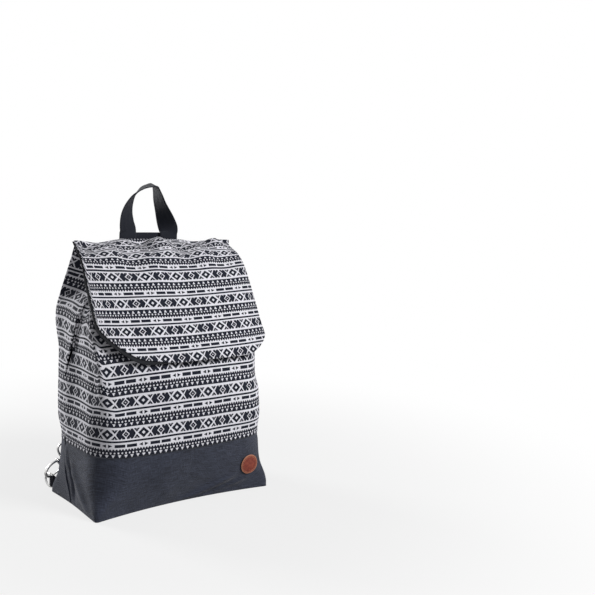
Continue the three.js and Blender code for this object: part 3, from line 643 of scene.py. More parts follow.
@dataclass(frozen=True)
class WovenBands(Finish):
    """Black and white jacquard: bands of diamonds, a line, dashes, teeth and small triangles."""

    name: str = "woven_bands"
    slot: Slot = Slot.PATTERN
    across: float = 53.2
    along: float = 46.8
    yarn: float = 0.56
    rib: float = 1.24
    black: Colour = srgb(18, 20, 30)
    pale_black: Colour = srgb(40, 44, 59)
    white: Colour = srgb(230, 229, 236)
    dull_white: Colour = srgb(203, 203, 210)

    def diamonds(self, x: Value, y: Value) -> Value:
        """Diamond band: pronged chevrons round a ringed diamond, and a small ringed diamond between.

        With x and y the distances from the big motif's middle, the diamonds are bands of x + y and the
        chevrons end along x + 0.6 y.

        Args:
            x: Distance across from the motif's middle.
            y: Distance along from it.

        Returns:
            1 on dark yarn, else 0.
        """
        both = x + y
        rest = 0.5 * self.across - x
        cross = abs(x - 16.5)
        core = (both > 0.9) * (both < 4.4)
        notch = abs(x - 6.5) < ((y - 4.7) * 0.36)
        chevron = (both > 6.1) * (x > 1.4) * ((x + y * 0.6) < 14.9) * (1.0 - notch)
        small = ((rest + y) > 2.6) * ((rest + y * 1.1) < 8.4)
        mark = (cross < ((y - 1.5) * 0.8)) * (1.0 - (cross < ((y - 5.1) * 0.36)))
        return (core | chevron | small | mark) * (y < 7.1)

    def dashes(self, x: Value, off: Value) -> Value:
        """Row of two dashes and a pair of small triangles that point apart; off is the height in it.

        Args:
            x: Distance across from the motif's middle.
            off: Distance from the row's middle.

        Returns:
            1 on dark yarn, else 0.
        """
        rest = 0.5 * self.across - x
        dash = (abs(x - 8.7) < 7.4) * (off < 2.3)
        arrow = (rest > 1.3) * (off < (2.7 - (rest - 1.3) * 0.46))
        return dash | arrow

    def strip(self, u: Value, down: Value) -> Value:
        """Dark strip with teeth along its upper edge, a row of dots and a row of triangles.

        Args:
            u: Place across.
            down: Share of a repeat below the diamonds' middle.

        Returns:
            1 on dark yarn, else 0.
        """
        tooth = abs(u.around(self.across / 12)) * (24.0 / self.across)
        teeth = (down > (0.462 + 0.062 * tooth * tooth)) * (down < 0.774)
        wide = u.around(self.across / 10) / 1.15
        high = (down - 0.588) * (self.along / 1.4)
        low = (0.746 - down) * 25.0
        triangle = (abs(u.around(self.across / 6)) < low) * (down > 0.652)
        return teeth * ((wide * wide + high * high) > 1.0) * (1.0 - triangle)

    def paint(self, kit: NodeKit) -> None:
        """Pattern in the cloth's own coordinates, held constant over each yarn, and the weave's relief.

        Args:
            kit: Nodes of the material.
        """
        u, v = kit.cloth()
        uq, vq = u.stepped(self.yarn), v.stepped(self.yarn)
        x = abs(uq.around(self.across))
        down = (0.17 - vq / self.along).fract() - 0.17
        y = abs(down) * self.along
        line = abs(down - 0.238) < 0.031
        off = abs(down - 0.367) * self.along
        dark = self.diamonds(x, y) | line | self.dashes(x, off) | self.strip(uq, down)
        fibre = kit.fibres(u * 0.55, v * 2.2)
        cloud = kit.cloud(u * 0.02, v * 0.02)
        tone = (fibre - 0.5) * 0.26 + (cloud - 0.5) * 0.12
        white = kit.mix(tone + 0.35, self.white, self.dull_white)
        black = kit.mix(tone + 0.30, self.black, self.pale_black)
        rib = v.wave(self.rib) * u.wave(self.rib)
        height = rib * 0.25 + dark * 0.4 + fibre * 0.5
        kit.surface(
            Base_Color=kit.mix(dark, white, black),
            Roughness=0.82 + fibre * 0.14,
            Normal=kit.bump(height, 0.35, 0.0004),
            Specular_IOR_Level=0.18,
            Sheen_Weight=0.05,
            Sheen_Roughness=0.5,
        )


@dataclass(frozen=True)
class GreyCanvas(Finish):
    """Dark grey melange canvas: plain weave of dark and paler fibres."""

    name: str = "grey_canvas"
    slot: Slot = Slot.CANVAS
    thread: float = 0.9
    dark: Colour = srgb(27, 30, 40)
    pale: Colour = srgb(73, 78, 95)

    def paint(self, kit: NodeKit) -> None:
        """Warp and weft fibres in their own directions, flecked, with a plain-weave relief.

        Args:
            kit: Nodes of the material.
        """
        u, v = kit.cloth()
        warp = kit.fibres(u * 1.1, v * 0.10)
        weft = kit.fibres(u * 0.06, v * 1.1, 7.0)
        cloud = kit.cloud(u * 0.02, v * 0.03, 3.0)
        fleck = (warp * 0.4 + weft * 0.6 - 0.5) * 2.6 + (cloud - 0.5) * 0.35 + 0.42
        weave = u.wave(self.thread) * v.wave(self.thread)
        height = weave * 0.5 + warp * 0.5 + weft * 0.5
        kit.surface(
            Base_Color=kit.mix(fleck.ramp(0.0, 1.0), self.dark, self.pale),
            Roughness=0.80 + warp * 0.14,
            Normal=kit.bump(height, 0.5, 0.0004),
            Specular_IOR_Level=0.22,
            Sheen_Weight=0.15,
            Sheen_Roughness=0.5,
        )


@dataclass(frozen=True)
class BlackCloth(Finish):
    """Plain black lining cloth with a fine weave."""

    name: str = "black_lining"
    slot: Slot = Slot.BLACK
    thread: float = 0.7
    dark: Colour = srgb(11, 12, 16)
    pale: Colour = srgb(25, 27, 33)

    def paint(self, kit: NodeKit) -> None:
        """Fine weave with slightly uneven dye.

        Args:
            kit: Nodes of the material.
        """
        u, v = kit.cloth()
        fibre = kit.fibres(u * 1.5, v * 0.5)
        weave = u.wave(self.thread) * v.wave(self.thread)
        kit.surface(
            Base_Color=kit.mix(fibre, self.dark, self.pale),
            Roughness=0.74 + fibre * 0.16,
            Normal=kit.bump(weave * 0.5 + fibre, 0.3, 0.0003),
            Specular_IOR_Level=0.25,
            Sheen_Weight=0.1,
        )


@dataclass(frozen=True)
class RibbedWebbing(Finish):
    """Black webbing with a fine herringbone rib and plain selvedges."""

    name: str = "ribbed_webbing"
    slot: Slot = Slot.WEBBING
    rib: float = 1.9
    yarn: float = 1.1
    herringbone: float = 9.0
    dark: Colour = srgb(14, 16, 24)
    pale: Colour = srgb(33, 36, 48)

    def paint(self, kit: NodeKit) -> None:
        """Ribs that rise and fall across the band: sine of length plus the folded width.

        Args:
            kit: Nodes of the material.
        """
        u, v = kit.cloth()
        fold = abs(u.around(self.herringbone))
        rib = (v + fold * 0.8).wave(self.rib)
        yarn = u.wave(self.yarn)
        fibre = kit.fibres(u * 1.4, v * 0.5)
        shade = (rib * 0.18 + fibre).ramp(0.1, 1.1)
        kit.surface(
            Base_Color=kit.mix(shade, self.dark, self.pale),
            Roughness=0.62 + fibre * 0.2,
            Normal=kit.bump(rib * 0.6 + yarn * 0.25 + fibre * 0.4, 0.5, 0.0005),
            Specular_IOR_Level=0.2,
            Sheen_Weight=0.06,
        )


@dataclass(frozen=True)
class BrownLeather(Finish):
    """Reddish brown leather with a fine grain and a paler, worn rim."""

    name: str = "brown_leather"
    slot: Slot = Slot.LEATHER
    radius: float = 15.5
    dark: Colour = srgb(108, 44, 34)
    pale: Colour = srgb(146, 71, 54)
    worn: Colour = srgb(190, 134, 104)

    def paint(self, kit: NodeKit) -> None:
        """Grain cells on the face; the cloth coordinates are the place from the patch's middle.

        Args:
            kit: Nodes of the material.
        """
        u, v = kit.cloth()
        spot = kit.stretched(u, v)
        cells = kit.node("ShaderNodeTexVoronoi", {"feature": "DISTANCE_TO_EDGE"},
                         {"Vector": spot, "Scale": 1.1, "Randomness": 0.9})
        cloud = kit.noise(spot, 0.22, 4.0, 0.6)
        rim = kit.length(spot).ramp(self.radius - 2.6, self.radius - 0.3)
        face = kit.mix(cloud.ramp(0.3, 0.7), self.dark, self.pale)
        pore = cells.ramp(0.0, 0.22)
        kit.surface(
            Base_Color=kit.mix(rim * 0.75, face, self.worn),
            Roughness=0.42 + cloud * 0.22,
            Normal=kit.bump(pore * 0.6 + cloud * 0.5, 0.3, 0.0004),
            Specular_IOR_Level=0.35,
        )


@dataclass(frozen=True)
class BrightNickel(Finish):
    """Polished nickel plate with faint wear."""

    name: str = "bright_nickel"
    slot: Slot = Slot.NICKEL
    cool: Colour = srgb(206, 207, 210)
    warm: Colour = srgb(224, 222, 218)

    def paint(self, kit: NodeKit) -> None:
        """Metal whose gloss varies softly over the surface.

        Args:
            kit: Nodes of the material.
        """
        spot = kit.place()
        cloud = kit.noise(spot, 240.0, 3.0, 0.6)
        scratch = kit.noise(spot, 1900.0, 2.0, 0.5)
        kit.surface(
            Base_Color=kit.mix(cloud, self.cool, self.warm),
            Metallic=1.0,
            Roughness=0.13 + cloud * 0.14,
            Normal=kit.bump(scratch, 0.06, 0.0002),
        )


@dataclass(frozen=True)
class Thread(Finish):
    """Sewing thread in one colour, with a twist."""

    name: str = "dark_thread"
    slot: Slot = Slot.WEBBING
    dark: Colour = srgb(30, 32, 40)
    pale: Colour = srgb(62, 66, 78)

    def paint(self, kit: NodeKit) -> None:
        """Twisted strands as a fine noise.

        Args:
            kit: Nodes of the material.
        """
        strand = kit.noise(kit.place(), 2600.0, 2.0, 0.5)
        kit.surface(
            Base_Color=kit.mix(strand, self.dark, self.pale),
            Roughness=0.62 + strand * 0.2,
            Normal=kit.bump(strand, 0.3, 0.0002),
            Specular_IOR_Level=0.3,
        )


WOVEN = WovenBands()
CANVAS = GreyCanvas()
LINING = BlackCloth()
WEBBING = RibbedWebbing()
LEATHER = BrownLeather()
NICKEL = BrightNickel()
THREAD = Thread()
TAN_THREAD = Thread("tan_thread", Slot.LEATHER, srgb(150, 104, 78), srgb(196, 152, 122))


def publish(name: str, surface: Surface, finish: Finish, body: str = "bag",
            stands_for: tuple[str, ...] = (), mend: bool = False) -> bpy.types.Object:
    """Makes a piece of the part from a surface and dresses it.

    Args:
        name: Name of the piece.
        surface: Its closed surface in millimetres.
        finish: Its finish.
        body: Body that it rides on.
        stands_for: Solids of the frame that it replaces.
        mend: Whether its faces still have to be turned outwards.

    Returns:
        The new object.
    """
    mesh = bpy.data.meshes.new(name)
    mesh.from_pydata((surface.points * MM).tolist(), [], surface.faces)
    corner = np.empty(len(mesh.loops), dtype=np.int32)
    mesh.loops.foreach_get("vertex_index", corner)
    layer = mesh.uv_layers.new(name=UV_NAME)
    layer.data.foreach_set("uv", (surface.uv[corner] * MM).astype(np.float32).ravel())
    mesh.polygons.foreach_set("use_smooth", np.ones(len(mesh.polygons), dtype=bool))
    if mend:
        work = bmesh.new()
        work.from_mesh(mesh)
        bmesh.ops.recalc_face_normals(work, faces=work.faces)
        work.to_mesh(mesh)
        work.free()
    mesh.materials.append(finish.material())
    mesh.update()
    piece = bpy.data.objects.new(name, mesh)
    bpy.context.scene.collection.objects.link(piece)
    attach(piece, body)
    if stands_for:
        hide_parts(*stands_for)
    LOG.info("%s: %d points, %s on %s", name, len(mesh.vertices), finish.name, body)
    return piece


def declare_sheet(grid: Array) -> None:
    """Works out the width and length that a piece's grid has along the cloth; nothing further is done with
    them.

    Args:
        grid: Its outer face.
    """
    width = float(lengths(grid, 1)[:, -1].max()) * MM
    length = float(lengths(grid, 0)[-1].max()) * MM


def declare_band(piece: bpy.types.Object, path: Array, width: float) -> None:
    """Logs a piece's length of webbing, which is the length of the path that it follows, and its width.

    Args:
        piece: The piece.
        path: Points along its middle.
        width: Width of the webbing.
    """
    length = float(lengths(path, 0)[-1])
    LOG.info("%s: %.3f m of webbing, %.0f mm wide", piece.name, length * MM, width)


COLUMNS = ("z_front", "z_seam", "z_back", "half_front", "front", "front_bulge", "front_round",
           "half_seam", "seam_y", "seam_round", "half_back", "back", "back_bulge", "back_round")
OUTLINE = np.array([0, 0.3, 0.4, 0.47, 0.53, 0.6, 0.7, 1.0])


@dataclass(frozen=True)
class BagForm:
    """Form of the body: outlines at eight levels from the base edge to the mouth, joined smoothly."""

    width: float = 300.0
    depth: float = 142.0
    height: float = 379.0
    canvas: float = 88.0
    front: float = 292.0
    top_width: float = 272.0
    tuck: float = 44.0
    hollow: float = 12.0
    right_round: float = 34.0

    def stations(self) -> Array:
        """One row of outline sizes for each level, by the names in COLUMNS.

        Returns:
            Rows (8, 14), from the base edge to the mouth.
        """
        h, d, t = self.width / 2, self.depth / 2, self.top_width / 2
        rows = np.array([
            [0, 0, 0, h, d + 8, -14, 7, h - 4, 8, 30, h, d, -10, 7],
            [12, 12, 12, h, d + 7, -9, 14, h - 4, 12, 30, h, d, -6, 12],
            [0.5, 0.5, 0.5, h - 4, d + 5, 2, 38, h - 3, 30, 24, h - 8, d - 3, 0, 24],
            [1, 1, 1, h - 6, d + 2, 12, 42, h - 4, 34, 18, h - 10, d - 7, 4, 26],
            [0.3, 0.3, 0.3, h - 6, d - 1, 12, 24, h - 4, 36, 14, h - 8, d + 1, 4, 22],
            [0.62, 0.62, 0.62, h - 6, d - 8, 8, 6, h - 7, 24, 12, h - 3, d, 4, 20],
            [0.88, 1, 0.96, h - 7, d - 34, 5, 10, h - 11, -2, 12, h + 2, d + 3, 2, 16],
            [1, 1.19, 1, t + 2, d - 44, 4, 14, t - self.tuck, 4, 10, t, d - 27, 20, 10],
        ], float)
        rows[2:4, :3] *= self.canvas
        rows[4:, :3] = self.canvas + rows[4:, :3] * (self.front - self.canvas)
        rows[-1, 2] = self.height
        return rows

    def station(self, level: Any) -> dict[str, Array]:
        """Outline sizes at any level: a Catmull-Rom cubic through the rows.

        At the two ends the missing neighbour is taken as the other end of the span, with weight -1/2.

        Args:
            level: Level from 0 (base edge) to 7 (mouth).

        Returns:
            Sizes by name.
        """
        rows = self.stations()
        last = len(rows) - 1
        level = np.asarray(level, float)
        low = np.clip(np.floor(level).astype(int), 0, last - 1)
        p = (level - low)[..., None]
        before = np.where(low == 0, low + 1, low - 1)
        after = np.where(low == last - 1, low, np.minimum(low + 2, last))
        wp = np.where(low == 0, -0.5, 0.5)[..., None]
        wn = np.where(low == last - 1, -0.5, 0.5)[..., None]
        sp = -wp * p**3 + 2 * wp * p**2 - wp * p
        s0 = (1 + wp) * p**3 + (-1.5 - 2 * wp) * p**2 + (-0.5 + wp) * p + 1
        s1 = (-1 - wn) * p**3 + (1.5 + wn) * p**2 + 0.5 * p
        sn = wn * p**3 - wn * p**2
        values = sp * rows[before] + s0 * rows[low] + s1 * rows[low + 1] + sn * rows[after]
        return dict(zip(COLUMNS, np.moveaxis(values, -1, 0)))

    def point(self, u: Any, level: Any, inset: Any = 0.0) -> Array:
        """Body surface, or one a set distance inside it.

        The half outline runs front centre, front corner, side seam, back corner, back centre; each
        corner is rounded by a quadratic curve and the front and back bulge as 1 - (x / half)^2.

        Args:
            u: Place round the body: 0 front centre, 0.5 left seam, 1 back centre, 1.5 right seam.
            level: Level from 0 to 7.
            inset: Distance inside the outer surface.

        Returns:
            Points with the shape of u and level and a last axis of three.
        """
        u, level, inset = np.broadcast_arrays(*(np.asarray(part, float) for part in (u, level, inset)))
        shape = u.shape
        u, level, inset = u.ravel(), level.ravel(), inset.reshape(-1, 1)
        turn = np.mod(u, 2.0)
        side = np.where(turn <= 1, -1.0, 1.0)
        w = np.where(turn <= 1, turn, 2 - turn)
        s = self.station(level)
        soft = smoothstep(level, 3.0, 4.0) * (side > 0)
        s["front_round"] = lerp(s["front_round"], self.right_round, soft)
        zero = np.zeros_like(w)
        outline = [np.stack(corner, -1) for corner in (
            (zero, -s["front"], s["z_front"]), (s["half_front"], -s["front"], s["z_front"]),
            (s["half_seam"], s["seam_y"], s["z_seam"]), (s["half_back"], s["back"], s["z_back"]),
            (zero, s["back"], s["z_back"]))]
        step = inset * BACKWARDS
        front_mid, back_mid = outline[0] + step, outline[4] - step
        front, seam, back = (self.inset_corner(*outline[k - 1:k + 2], inset) for k in (1, 2, 3))
        ends = np.stack([
            front_mid, self.towards(front, front_mid, s["front_round"]),
            self.towards(front, seam, s["front_round"]), self.towards(seam, front, s["seam_round"]),
            self.towards(seam, back, s["seam_round"]), self.towards(back, seam, s["back_round"]),
            self.towards(back, back_mid, s["back_round"]), back_mid])
        middle = (ends[:-1] + ends[1:]) / 2
        middle[1], middle[3], middle[5] = front, seam, back
        piece = np.minimum(np.searchsorted(OUTLINE[1:], w, side="left"), 6)
        t = (w - OUTLINE[piece]) / (OUTLINE[piece + 1] - OUTLINE[piece])
        n = np.arange(len(w))
        p = t[:, None]
        q = 1 - p
        point = q**2 * ends[piece, n] + 2 * p * q * middle[piece, n] + p**2 * ends[piece + 1, n]
        x = point[:, 0]
        front_bow = 1 - (np.minimum(x, front[:, 0] - s["front_round"]) / front[:, 0]) ** 2
        back_bow = 1 - (np.minimum(x, back[:, 0] - s["back_round"]) / back[:, 0]) ** 2
        at_front = np.where(piece == 0, 1.0, np.where(piece == 1, (1 - t) ** 2, 0.0))
        at_back = np.where(piece == 6, 1.0, np.where(piece == 5, t**2, 0.0))
        point[:, 1] += s["back_bulge"] * back_bow * at_back - s["front_bulge"] * front_bow * at_front
        point[:, 0] = side * (x - self.wing_hollow(w, level))
        return point.reshape(shape + (3,))

    def wing_hollow(self, w: Array, level: Array) -> Array:
        """Depth of the soft hollow in each side above the ledge at level 6, behind the seam."""
        across = np.sin(np.pi * np.clip((w - 0.5) / 0.16, 0, 1)) ** 2
        return self.hollow * across * smoothstep(level, 6.0, 6.35) * (1 - smoothstep(level, 6.6, 7.0))

    @staticmethod
    def towards(start: Array, end: Array, distance: Array) -> Array:
        """Points a set distance from one corner towards another, at most just short of half way."""
        length = np.hypot(end[:, 0] - start[:, 0], end[:, 1] - start[:, 1])
        return start + (end - start) * np.minimum(distance / length, 0.46)[:, None]

    @staticmethod
    def inset_corner(a: Array, b: Array, c: Array, distance: Array) -> Array:
        """Corner b of the outline a, b, c moved in so that both its sides lie a distance further in.

        Args:
            a: Point before the corner.
            b: The corner.
            c: Point after it.
            distance: How far in.

        Returns:
            The moved corner.
        """
        def inward(start: Array, end: Array) -> Array:
            """Unit vectors square to a side of the outline, towards the inside."""
            way = unit(end[:, :2] - start[:, :2])
            return np.stack([-way[:, 1], way[:, 0]], -1)

        before, after = inward(a, b), inward(b, c)
        scale = distance / (1 + np.sum(before * after, axis=1, keepdims=True))
        moved = b.copy()
        moved[:, :2] += scale * (before + after)
        return moved

    def level_at(self, column: str, z: Any) -> Array:
        """Level at which a height column reaches z."""
        fine = np.linspace(0, 7, 2801)
        return np.interp(z, self.station(fine)[column], fine)

    def front_y(self, x: Any, z: Any) -> Array:
        """Outer face of the front, as y at a place x, z."""
        s = self.station(self.level_at("z_front", z))
        return -s["front"] - s["front_bulge"] * (1 - (x / s["half_front"]) ** 2)

    def back_y(self, x: Any, z: Any) -> Array:
        """Outer face of the back, as y at a place x, z."""
        s = self.station(self.level_at("z_back", np.minimum(z, self.height)))
        return s["back"] + s["back_bulge"] * (1 - (x / s["half_back"]) ** 2)

    def back_out(self, x: float, z: Any) -> Array:
        """Direction out of the back at places x, z, seen from above."""
        slope = (self.back_y(x + 1, z) - self.back_y(x - 1, z)) / 2
        return unit(np.stack([-slope, 0 * slope + 1, 0 * slope], -1))

    def round_places(self, low: float, high: float, count: int, level: float = 4.5) -> Array:
        """Values of u between two, evenly spaced along the outline of one level.

        Args:
            low: First value.
            high: Last value.
            count: How many.
            level: Level of the outline.

        Returns:
            The values (count).
        """
        fine = np.linspace(low, high, 1501)
        run = lengths(self.point(fine, np.full_like(fine, level)), 0)
        return np.interp(np.linspace(0.0, run[-1], count), run, fine)

    def ridge_dip(self, x: Any) -> Array:
        """How far the slack top edge hangs below a straight line at x, on both sides of the handle."""
        return 4.6 * bell(x, -92.0, 24.0) + 3.6 * bell(x, 80.0, 20.0)


@dataclass(frozen=True)
class FlapForm:
    """Form of the flap: from the ridge over the mouth and down the front, with rounded lower corners."""

    bag: BagForm = BagForm()
    cloth: float = 1.4
    lining: float = 1.0
    gap: float = 0.4
    lift: float = 0.3
    standoff: float = 11.0
    side_stand: float = 0.7
    bottom: float = 218.0
    hang: float = 28.0
    hang_side: float = 26.0
    crest: float = 7.0
    crest_side: float = 12.0
    crest_reach: float = 0.46
    crest_reach_side: float = 0.3
    shoulder: float = 0.6
    corner_power: float = 1.45
    round_start: float = 0.52
    round_share: float = 0.34
    right_start: float = 0.72
    right_share: float = 0.18
    flare: float = 6.0

    def reach(self, t: Any) -> Array:
        """Length share of the flap at the place t across it: 1 less a rounded corner.

        Args:
            t: Place across, -1 to 1.

        Returns:
            Share of the full length.
        """
        start = np.where(t > 0, self.right_start, self.round_start)
        share = np.where(t > 0, self.right_share, self.round_share)
        into = np.maximum(0, (np.abs(t) - start) / (1 - start))
        power = self.corner_power
        return 1 - share * (1 - np.maximum(0, 1 - into**power) ** (1 / power))

    def surface(self, t: Any, s: Any) -> Array:
        """Flap surface: t across (-1 to 1), s from the ridge (0) to the full lower edge (1).

        Down to the hanging part it is a cubic Bezier curve from the ridge by a crest and a shoulder;
        below that it follows the front at a standoff.

        Args:
            t: Place across.
            s: Place down.

        Returns:
            Points with a last axis of three.
        """
        bag = self.bag
        edge = t * t
        share = 1 - self.round_share
        top = bag.top_width / 2
        x = t * lerp(top, top + self.flare, smoothstep(s, 0, share))
        hang_z = lerp(bag.front - self.hang, bag.front - self.hang_side, edge)
        stand = lerp(self.standoff, self.side_stand * self.standoff, edge)
        z_low = lerp(hang_z, self.bottom, (s - share) / self.round_share)
        y_low = bag.front_y(x, z_low) - stand
        lift = self.cloth + self.lining + 2 * self.gap + self.lift
        ridge = (bag.back_y(x, bag.height) - 2 * self.gap, bag.height + lift + 0 * x)
        hang = (bag.front_y(x, hang_z) - stand, hang_z)
        slope = (bag.front_y(x, hang_z + 2) - bag.front_y(x, hang_z - 2)) / 4
        over = ridge[0] - hang[0]
        reach = lerp(self.crest_reach, self.crest_reach_side, edge)
        crest = (ridge[0] - reach * over, ridge[1] - lerp(self.crest, self.crest_side, edge))
        rise = self.shoulder * (ridge[1] - hang[1])
        shoulder = (hang[0] + slope * rise, hang[1] + rise)
        p = np.clip(s / share, 0, 1)
        q = 1 - p
        knots = (ridge, crest, shoulder, hang)
        weights = (q**3, 3 * q * q * p, 3 * q * p * p, p**3)
        y, z = (sum(w * knot[k] for w, knot in zip(weights, knots)) for k in (0, 1))
        low = s >= share
        return np.stack([x, np.where(low, y_low, y), np.where(low, z_low, z)], -1)


@dataclass(frozen=True)
class Fold:
    """Soft fold in cloth: a ridge, or a valley if its height is negative, along a straight line."""

    start: tuple[float, float, float]
    end: tuple[float, float, float]
    width: float
    height: float

    def rise(self, points: Array) -> Array:
        """Height of the fold at points: a bell of the distance from the line, fading at both ends.

        Args:
            points: Points with a last axis of three.

        Returns:
            Height at each point.
        """
        a, b = np.array(self.start), np.array(self.end)
        way = b - a
        share = (points - a) @ way / (way @ way)
        near = a + np.clip(share, 0, 1)[..., None] * way
        gap = np.linalg.norm(points - near, axis=-1)
        fade = smoothstep(share, -0.15, 0.3) * smoothstep(1 - share, -0.15, 0.3)
        return self.height * fade * np.exp(-((gap / self.width) ** 2))


@dataclass(frozen=True)
class Swell:
    """Swell of the cloth beside a side seam, over a span of heights in which it rises and falls."""

    span: tuple[float, float, float, float]
    height: float
    width: float

    def rise(self, points: Array, edge: Any) -> Array:
        """Height of the swell at points: a bell of the distance from the seam, within the span.

        Args:
            points: Points with a last axis of three.
            edge: Their distance from the seam, along the cloth.

        Returns:
            Height at each point.
        """
        start, full, fall, end = self.span
        z = points[..., 2]
        share = smoothstep(z, start, full) * (1 - smoothstep(z, fall, end))
        return self.height * share * np.exp(-((edge / self.width) ** 2))


@dataclass
class BagBody:
    """Front, back and canvas bottom of the bag, with its lining and seams."""

    form: BagForm = field(default_factory=BagForm)
    cloth: float = 1.6
    lining: float = 1.0
    lining_inset: float = 3.6
    lining_top: float = 6.94
    wing_room: float = 5.0
    dent_share: float = 1.2
    columns: int = 230
    rows: int = 100
    panel_half: float = 0.4985
    seam_level: float = 3.0
    seam_reach: tuple[float, float] = (0.25, 6.98)
    seam_depth: float = 0.3
    seam_oval: tuple[float, float] = (1.2, 1.5)
    seam_fade: float = 26.0
    first_row: float = 34.0
    hem_height: float = 0.7
    hem_width: float = 5.0
    # Beside the side seam the back's cloth stands over the front's; below that both swell out
    front_pleat: Swell = Swell((175.0, 235.0, 268.0, 300.0), -1.8, 14.0)
    back_pleat: Swell = Swell((175.0, 235.0, 268.0, 300.0), 3.4, 26.0)
    front_ridge: Swell = Swell((92.0, 125.0, 195.0, 240.0), 4.2, 22.0)
    back_ridge: Swell = Swell((92.0, 125.0, 195.0, 240.0), 4.2, 38.0)
    # The crease down the left corner, soft drags below the flap and the rounded right corner
    front_folds: tuple[Fold, ...] = (
        Fold((-141, -50, 215), (-146, -60, 95), 11.0, -3.0),
        Fold((-118, -80, 200), (-128, -84, 100), 14.0, 2.2),
        Fold((60, -84, 190), (20, -88, 110), 15.0, 1.6),
        Fold((-60, -84, 180), (-20, -88, 105), 16.0, -1.6),
        Fold((134, -64, 235), (136, -64, 165), 26.0, -6.0),
    )
    # A lit wedge near the left front, drags at the base and at the seam
    canvas_folds: tuple[Fold, ...] = (
        Fold((-148, 18, 62), (-150, -52, 6), 8.0, 4.2),
        Fold((-147, 17, 64), (-149, -6, 4), 4.5, -4.0),
        Fold((-147, 28, 86), (-147, 24, 50), 5.0, 1.6),
        Fold((-120, -86, 70), (-140, -84, 10), 11.0, 2.0),
        Fold((-60, -88, 60), (-20, -76, 8), 13.0, 1.8),
        Fold((-24, -66, -6), (84, -75, 28), 4.5, 4.2),
        Fold((0, -68, -8), (96, -74, 18), 6.0, -2.6),
        Fold((36, -70, 0), (112, -75, 22), 4.0, 3.0),
        Fold((139, -60, 84), (147, -74, -4), 5.0, 2.6),
        Fold((146, -30, 70), (149, -56, 12), 11.0, 2.0),
    )

    def slack(self, points: Array) -> Array:
        """Loose waves of the cloth: two ripples and a swell, which fade towards the canvas.

        Args:
            points: Points with a last axis of three.

        Returns:
            Height at each point.
        """
        x, y, z = np.moveaxis(points, -1, 0)
        ripple = 0.9 * np.sin(x / 21.0 + z / 57.0 + 0.6)
        cross_ripple = 0.7 * np.sin(x / 13.0 - z / 34.0 + y / 19.0 + 2.0)
        swell = 0.8 * np.sin(z / 26.0 + x / 48.0 + 1.1)
        fade = smoothstep(z, self.form.canvas, self.form.canvas + 40.0)
        return (ripple + cross_ripple + swell) * fade

    @staticmethod
    def edge_run(grid: Array) -> Array:
        """Distance of each point of a panel from its nearer side edge, along the cloth."""
        run = lengths(grid, 1)
        return np.minimum(run, run[:, -1:] - run)

    def panel(self, middle: float) -> tuple[Array, Array]:
        """Grid of a patterned panel and its cloth coordinates.

        Args:
            middle: Place round the body from which the panel and its pattern run to both sides.

        Returns:
            Outer face (rows, columns, 3) and cloth coordinates, whose origin is a diamond's middle.
        """
        form = self.form
        u = form.round_places(middle - self.panel_half, middle + self.panel_half, self.columns)
        levels = form.level_at("z_front", np.linspace(form.canvas + 0.2, form.front, self.rows))
        grid = soften(form.point(u[None, :], levels[:, None]), 1, 2)
        run = lengths(grid, 1)
        start = np.array([np.interp(middle, u, row) for row in run])[:, None]
        across = soften(start - run, 0, 20)
        return grid, np.stack([across, lengths(grid, 0) - self.first_row], -1)

    def raised(self, grid: Array, rise: Array) -> Array:
        """Panel with its relief; its lower hem stands slightly over the canvas."""
        hem = self.hem_height * bell(lengths(grid, 0), 0.0, self.hem_width)
        return grid + (rise + hem)[..., None] * grid_normals(grid)

    def publish_panel(self, name: str, node: str, grid: Array, uv: Array) -> None:
        """Makes a patterned panel from its grid, in place of a solid of the frame."""
        piece = publish(name, cloth(grid, self.cloth, uv), WOVEN, stands_for=(node,))
        declare_sheet(grid)

    def build_front(self) -> None:
        """Patterned front panel with its folds."""
        grid, uv = self.panel(0.0)
        edge = self.edge_run(grid)
        rise = sum(fold.rise(grid) for fold in self.front_folds) + self.slack(grid)
        rise = rise * smoothstep(edge, 1.0, self.seam_fade) + self.front_pleat.rise(grid, edge)
        rise = rise + self.front_ridge.rise(grid, edge)
        self.publish_panel("front_cloth", "front_panel", self.raised(grid, rise), uv)

    def build_back(self) -> None:
        """Patterned back panel; its top edge hangs a little between the handle and the corners."""
        flat, uv = self.panel(1.0)
        x, y, z = np.moveaxis(flat, -1, 0)
        clear = 1 - smoothstep(z, 250.0, 330.0) * (1 - smoothstep(np.abs(x), 62.0, 90.0))
        edge = self.edge_run(flat)
        rise = 0.7 * self.slack(flat) * clear * smoothstep(edge, 1.0, self.seam_fade)
        rise = rise + self.back_pleat.rise(flat, edge) + self.back_ridge.rise(flat, edge)
        grid = self.raised(flat, rise)
        grid[..., 2] -= self.form.ridge_dip(x) * smoothstep(z, 330.0, 379.0) * smoothstep(y, 20.0, 40.0)
        self.publish_panel("back_cloth", "back_panel", grid, uv)

    @staticmethod
    def tub(walls: Array, shares: tuple[float, ...]) -> tuple[Array, Array]:
        """Walls with a level floor added, in rings at shares of the way out from the middle.

        Args:
            walls: Rows (rows, columns, 3) from the base edge upwards; the columns close on themselves.
            shares: Place of each ring of the floor, from a small one at the middle outwards.

        Returns:
            Grid of floor and walls, and its cloth coordinates.
        """
        floor = walls[:1] * np.array(shares)[:, None, None]
        floor[..., 2] = walls[0, :, 2]
        uv = np.concatenate([floor[..., :2], np.stack([lengths(walls, 1), lengths(walls, 0)], -1)])
        return np.concatenate([floor, walls]), uv

